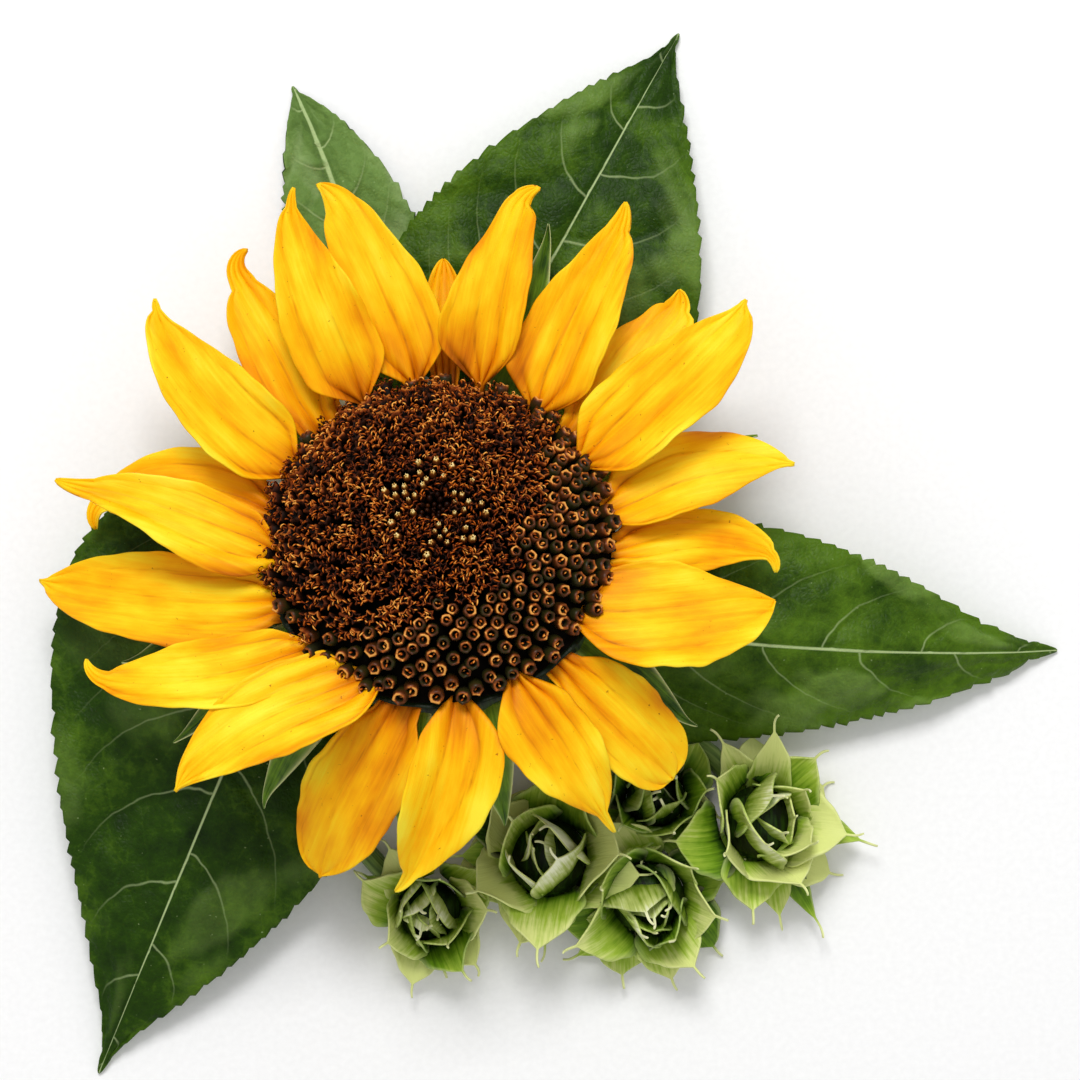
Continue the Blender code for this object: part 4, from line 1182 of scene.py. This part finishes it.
# Pith cells are 0.1 mm; the foam is drawn at 0.4 mm so that it shows.
pith_place = add(pith_tree, "ShaderNodeTexCoord", out="Object")
foam = add(pith_tree, "ShaderNodeTexNoise", {"Vector": pith_place, "Scale": 2500.0, "Detail": 2.0})
pith_mixed = add(pith_tree, "ShaderNodeMath", {0: foam, 1: 0.2, 2: pith_radius}, operation="MULTIPLY_ADD")
pith_colour = add(pith_tree, "ShaderNodeValToRGB", {0: pith_mixed}, stops=[
    (0.1, "#F2EFD8"), (0.62, "#DCDDB0"), (0.78, "#93A84E"), (0.95, "#64802C")])
pith_tree.links.new(pith_colour, pith_shader.inputs["Base Color"])
pith_bump = add(pith_tree, "ShaderNodeBump", {"Height": foam, "Strength": 0.5, "Distance": 0.0002})
pith_tree.links.new(pith_bump, pith_shader.inputs["Normal"])

pith_radii, pith_out = np.array(PITH_RINGS).T
outward = unit(stem_path[0] - stem_path[1])
across = unit(np.cross([0.0, 0.0, 1.0], outward))
round_end = np.linspace(0, math.tau, END_SIDES + 1)[:-1]
pith = (stem_path[0] + outward * pith_out[:, None, None]
        + across * (pith_radii[:, None] * np.cos(round_end))[..., None]
        + np.cross(outward, across) * (pith_radii[:, None] * np.sin(round_end))[..., None])
make_piece("cut_stem_end", pith, tube_faces(len(pith_radii), END_SIDES), [pith_finish], "stem", ["stem"],
           tone=triples(pith_radii[:, None] / STEM_RADIUS + 0 * round_end, 0, 0))
print("the cut end is", round(2 * pith_radii.max(), 1), "mm across")

# %% Shoots
SHOOT_RINGS, SHOOT_SIDES = 80, 16
SHOOT_ROUTES = {
    "shoot_1": ((-43.5, -42, 3.2), (-38, -48, 2.6), (-31, -56, 2.8), (-27.6, -59.2, 3.6)),
    "shoot_2": ((-37.5, -35.5, 3.2), (-26, -40, 2.6), (-13, -46, 2.8), (-8.8, -48.5, 4.5)),
    "shoot_3": ((-32.5, -29.5, 3.4), (-10, -34, 2.6), (4, -40.5, 2.6), (9.4, -48, 2.6), (12.7, -55.1, 4.0)),
    "shoot_4": ((-24.6, -20.8, 5.0), (-5, -23.5, 3.0), (14, -27.5, 2.6), (27, -35, 2.8), (32.6, -40.6, 4.0)),
    "shoot_5": ((-28.4, -25.4, 4.2), (-8, -29, 3.0), (6, -34, 2.8), (13.4, -39.4, 3.8)),
}
for name, route in SHOOT_ROUTES.items():
    make_stalk(name + "_stalk", through(route, SHOOT_RINGS), np.linspace(1.6, 1.9, SHOOT_RINGS),
               SHOOT_SIDES, 8, 0.05, SMALL_GIRTH, [name])
print(len(SHOOT_ROUTES), "shoots")

# %% [markdown]
# ## Side buds
#
# A side bud is a whole small head that is still shut: whorl upon whorl of bracts round a hollow. The
# innermost lean together over it, the outermost fall back and show their pale downy side. So each
# bud is a core and some twenty blades, and only the angles differ from whorl to whorl.

# %% The buds' own numbers
WHORLS = (
    # bracts, start radius, start height, rise, droop, length, width, own shade
    (3, 0.30, 0.02, 102, -26, 1.05, 1.05, -0.06),
    (4, 0.54, -0.12, 92, -16, 1.40, 1.45, 0.0),
    (5, 0.70, -0.34, 64, 14, 1.45, 1.55, 0.10),
    (5, 0.74, -0.54, 30, 40, 1.30, 1.45, 0.14),
)
BUDS = {
    # extras are bracts that stand out: direction, rise, droop, length in mm, width in mm, own shade
    "bud_1": dict(middle=(-21.6, -64.3, 8.0), radius=7.6, height=16, lean=10, lean_to=270,
                  spread=4, fresh=0.22,
                  extras=((152, 10, 30, 11, 5.0, -0.16), (278, -6, 30, 8, 6.0, -0.22))),
    "bud_2": dict(middle=(-1.0, -53.5, 9.7), radius=9.6, height=19, lean=22, lean_to=120,
                  spread=-10, fresh=0.34,
                  extras=((268, 24, 40, 14, 13.0, 0.24), (184, 20, 30, 12, 9.0, -0.14),
                          (152, 30, 20, 13, 9.0, -0.12), (318, 10, 30, 13, 8.0, -0.20))),
    "bud_3": dict(middle=(17.6, -62.0, 9.2), radius=9.0, height=18, lean=18, lean_to=300,
                  spread=-6, fresh=0.02,
                  extras=((222, -4, 20, 14, 7.0, -0.22), (206, 34, 50, 9, 7.0, 0.28),
                          (140, 40, 40, 13, 11.0, 0.20), (282, 20, 60, 12, 10.0, 0.16))),
    "bud_4": dict(middle=(38.2, -47.6, 9.6), radius=9.4, height=19, lean=28, lean_to=20,
                  spread=-12, fresh=0.26,
                  extras=((122, 42, 30, 16, 8.0, 0.30), (88, 46, 30, 17, 8.0, 0.32),
                          (228, 24, 60, 11, 9.0, 0.26), (276, 16, 40, 15, 8.0, 0.28),
                          (296, 4, 10, 18, 5.0, -0.10), (354, 6, 8, 15, 6.5, -0.08))),
    "bud_5": dict(middle=(18.6, -43.2, 8.4), radius=7.2, height=16, lean=10, lean_to=90,
                  spread=4, fresh=-0.06,
                  extras=((262, 50, 40, 11, 9.0, 0.12), (345, 30, 50, 10, 7.0, 0.20))),
}
BRACT_ROWS, BRACT_COLUMNS = 27, 13
BUD_BRACT_THICKNESS = 0.32
CORE_RINGS, CORE_SIDES = 15, 24
# The least height over the table, in mm, and the tail of a bract: share of its length, half-width in mm.
TABLE_GAP = 0.2
AWN = (0.24, 0.10)


# %% One bract of a bud
def bud_bract(bend, length, width, start, sink, own, rng):
    """One bract of a bud, still on the bud's axis: closed points, tone and place."""
    s = np.linspace(0, 1, BRACT_ROWS)
    v = np.linspace(-1, 1, BRACT_COLUMNS)
    shape = (width / 2, 0.40, 0.95)
    ragged = 0.05 * np.sin(math.tau * (3.3 * s[:, None] + rng.uniform(0, 1))) * np.sin(math.pi * s[:, None])
    points, half, _, up = blade(s, v, length, bend, shape, shape, cup=0.22, ripple=ragged, tail=AWN,
                                   curl=(rng.normal(10, 35), rng.normal(0, 35)))
    keel = -0.35 * np.exp(-(v / 0.14) ** 2)[None] * (1 - s[:, None]) + 0.07 * np.cos(math.tau * 2.5 * v)[None]
    waves = [np.sin(math.tau * (0.9 * s[:, None] + rng.uniform(0, 1))) for _ in range(2)]
    edge = 0.9 * v[None] ** 2 * np.where(v[None] > 0, *waves)
    points = points + up * ((keel * (1 - s[:, None]) + edge) * half / half.max())[..., None]
    # Painted shade: a bract is darker towards its base, where the bracts crowd together.
    shade = own + rng.normal(0, 0.13) - 0.50 * np.exp(-s[:, None] / 0.26) + 0.26 * s[:, None]
    shade = shade - 0.10 * np.exp(-(v / 0.1) ** 2)[None]
    pale = 0.30 * np.abs(v)[None] ** 24 + np.clip((s[:, None] - 0.76) * 6, 0, 1)
    tone = triples(shade, s[:, None], np.clip(pale, 0, 1))
    place = triples(v[None] * half, s[:, None] * length, rng.uniform(0, 900))
    closed = close_sheet(points + np.array([start, 0.0, sink]), BUD_BRACT_THICKNESS)
    return closed, np.tile(tone.reshape(-1, 3), (2, 1)), np.tile(place.reshape(-1, 3), (2, 1))


# %% Resting on the table
def lie_on_table(points, along):
    """Points whose tip bends up where they would pass through the table.

    Each point rises by low min(1, 1.4 along / a), where low is how far the lowest one is under the
    table and a is how far along the bract that one stands. Two passes leave nothing below.
    """
    for _ in range(2):
        lowest = np.argmin(points[:, 2])
        low = max(TABLE_GAP - points[lowest, 2], 0.0)
        share = np.minimum(1, 1.4 * along / max(along[lowest], 0.05))
        points = points + [[0.0, 0.0, 1.0]] * (low * share)[:, None]
    return points


# %% One bud
def make_bud(order, name, bud):
    """A bud's core, its whorls of bracts and the few that stand out, as one piece."""
    rng = np.random.default_rng(700 + order)
    radius, height = bud["radius"], bud["height"]
    turn = lean(bud["lean"], bud["lean_to"])
    middle = np.array(bud["middle"])
    bracts = []
    for level, (count, start, sink, rise, droop, long, wide, own) in enumerate(WHORLS):
        for k in range(count):
            bend = (rise + bud["spread"] + rng.normal(0, 8), droop + rng.normal(0, 14), rng.normal(0, 10),
                    rng.normal(0, 16), rng.normal(0, 14))
            around = 360 / count * (k + 0.5 * (level % 2)) + rng.normal(0, 9)
            size = radius * rng.uniform(0.85, 1.15, 2) * (long, wide)
            parts = bud_bract(bend, *size, radius * start, sink * height / 2, own + bud["fresh"], rng)
            placed = lie_on_table(parts[0] @ turn_z(around).T @ turn.T + middle, parts[1][:, 1])
            bracts.append((placed, *parts[1:]))
    for around, rise, droop, long, wide, own in bud["extras"]:
        bend = (rise, droop, rng.normal(0, 6), rng.normal(0, 14), rng.normal(0, 10))
        parts = bud_bract(bend, long, wide, radius * 0.62, -0.30 * height, own, rng)
        placed = lie_on_table(parts[0] @ turn_z(around).T + middle, parts[1][:, 1])
        bracts.append((placed, *parts[1:]))
    sheets, tones, places = (list(part) for part in zip(*bracts))
    quads, under = sheet_faces(BRACT_ROWS, BRACT_COLUMNS)
    size = 2 * BRACT_ROWS * BRACT_COLUMNS
    copies = np.arange(len(sheets))[:, None, None] * size
    uppers = (quads[:-under] + copies).reshape(-1, 4)
    lowers = (quads[-under:] + copies).reshape(-1, 4)
    polar = np.linspace(0.08, math.pi - 0.08, CORE_RINGS)
    around = np.arange(CORE_SIDES) * math.tau / CORE_SIDES
    core = np.stack([0.72 * radius * np.sin(polar)[:, None] * np.cos(around)[None],
                     0.72 * radius * np.sin(polar)[:, None] * np.sin(around)[None],
                     -np.cos(polar)[:, None] * height * 0.34 - 0.12 * height + 0 * around[None]], -1)
    core_points = (core @ turn.T + middle).reshape(-1, 3)
    core_faces = tube_faces(CORE_RINGS, CORE_SIDES) + len(sheets) * size
    # The core is painted dark, as shade in the hollow among the bracts.
    tones.append(triples(np.full(len(core_points), -0.42), 0.0, 0.0))
    places.append(core_points)
    return make_piece(name + "_bracts", np.concatenate([*sheets, core_points]),
                      np.concatenate([core_faces, uppers, lowers]), [bract_inner, bract_outer], "bud", [name],
                      len(lowers), tone=np.concatenate(tones), place=np.concatenate(places))


bud_pieces = [make_bud(order, name, bud) for order, (name, bud) in enumerate(BUDS.items())]
print("buds:", [2 * len(p.data.polygons) for p in bud_pieces], "triangles")
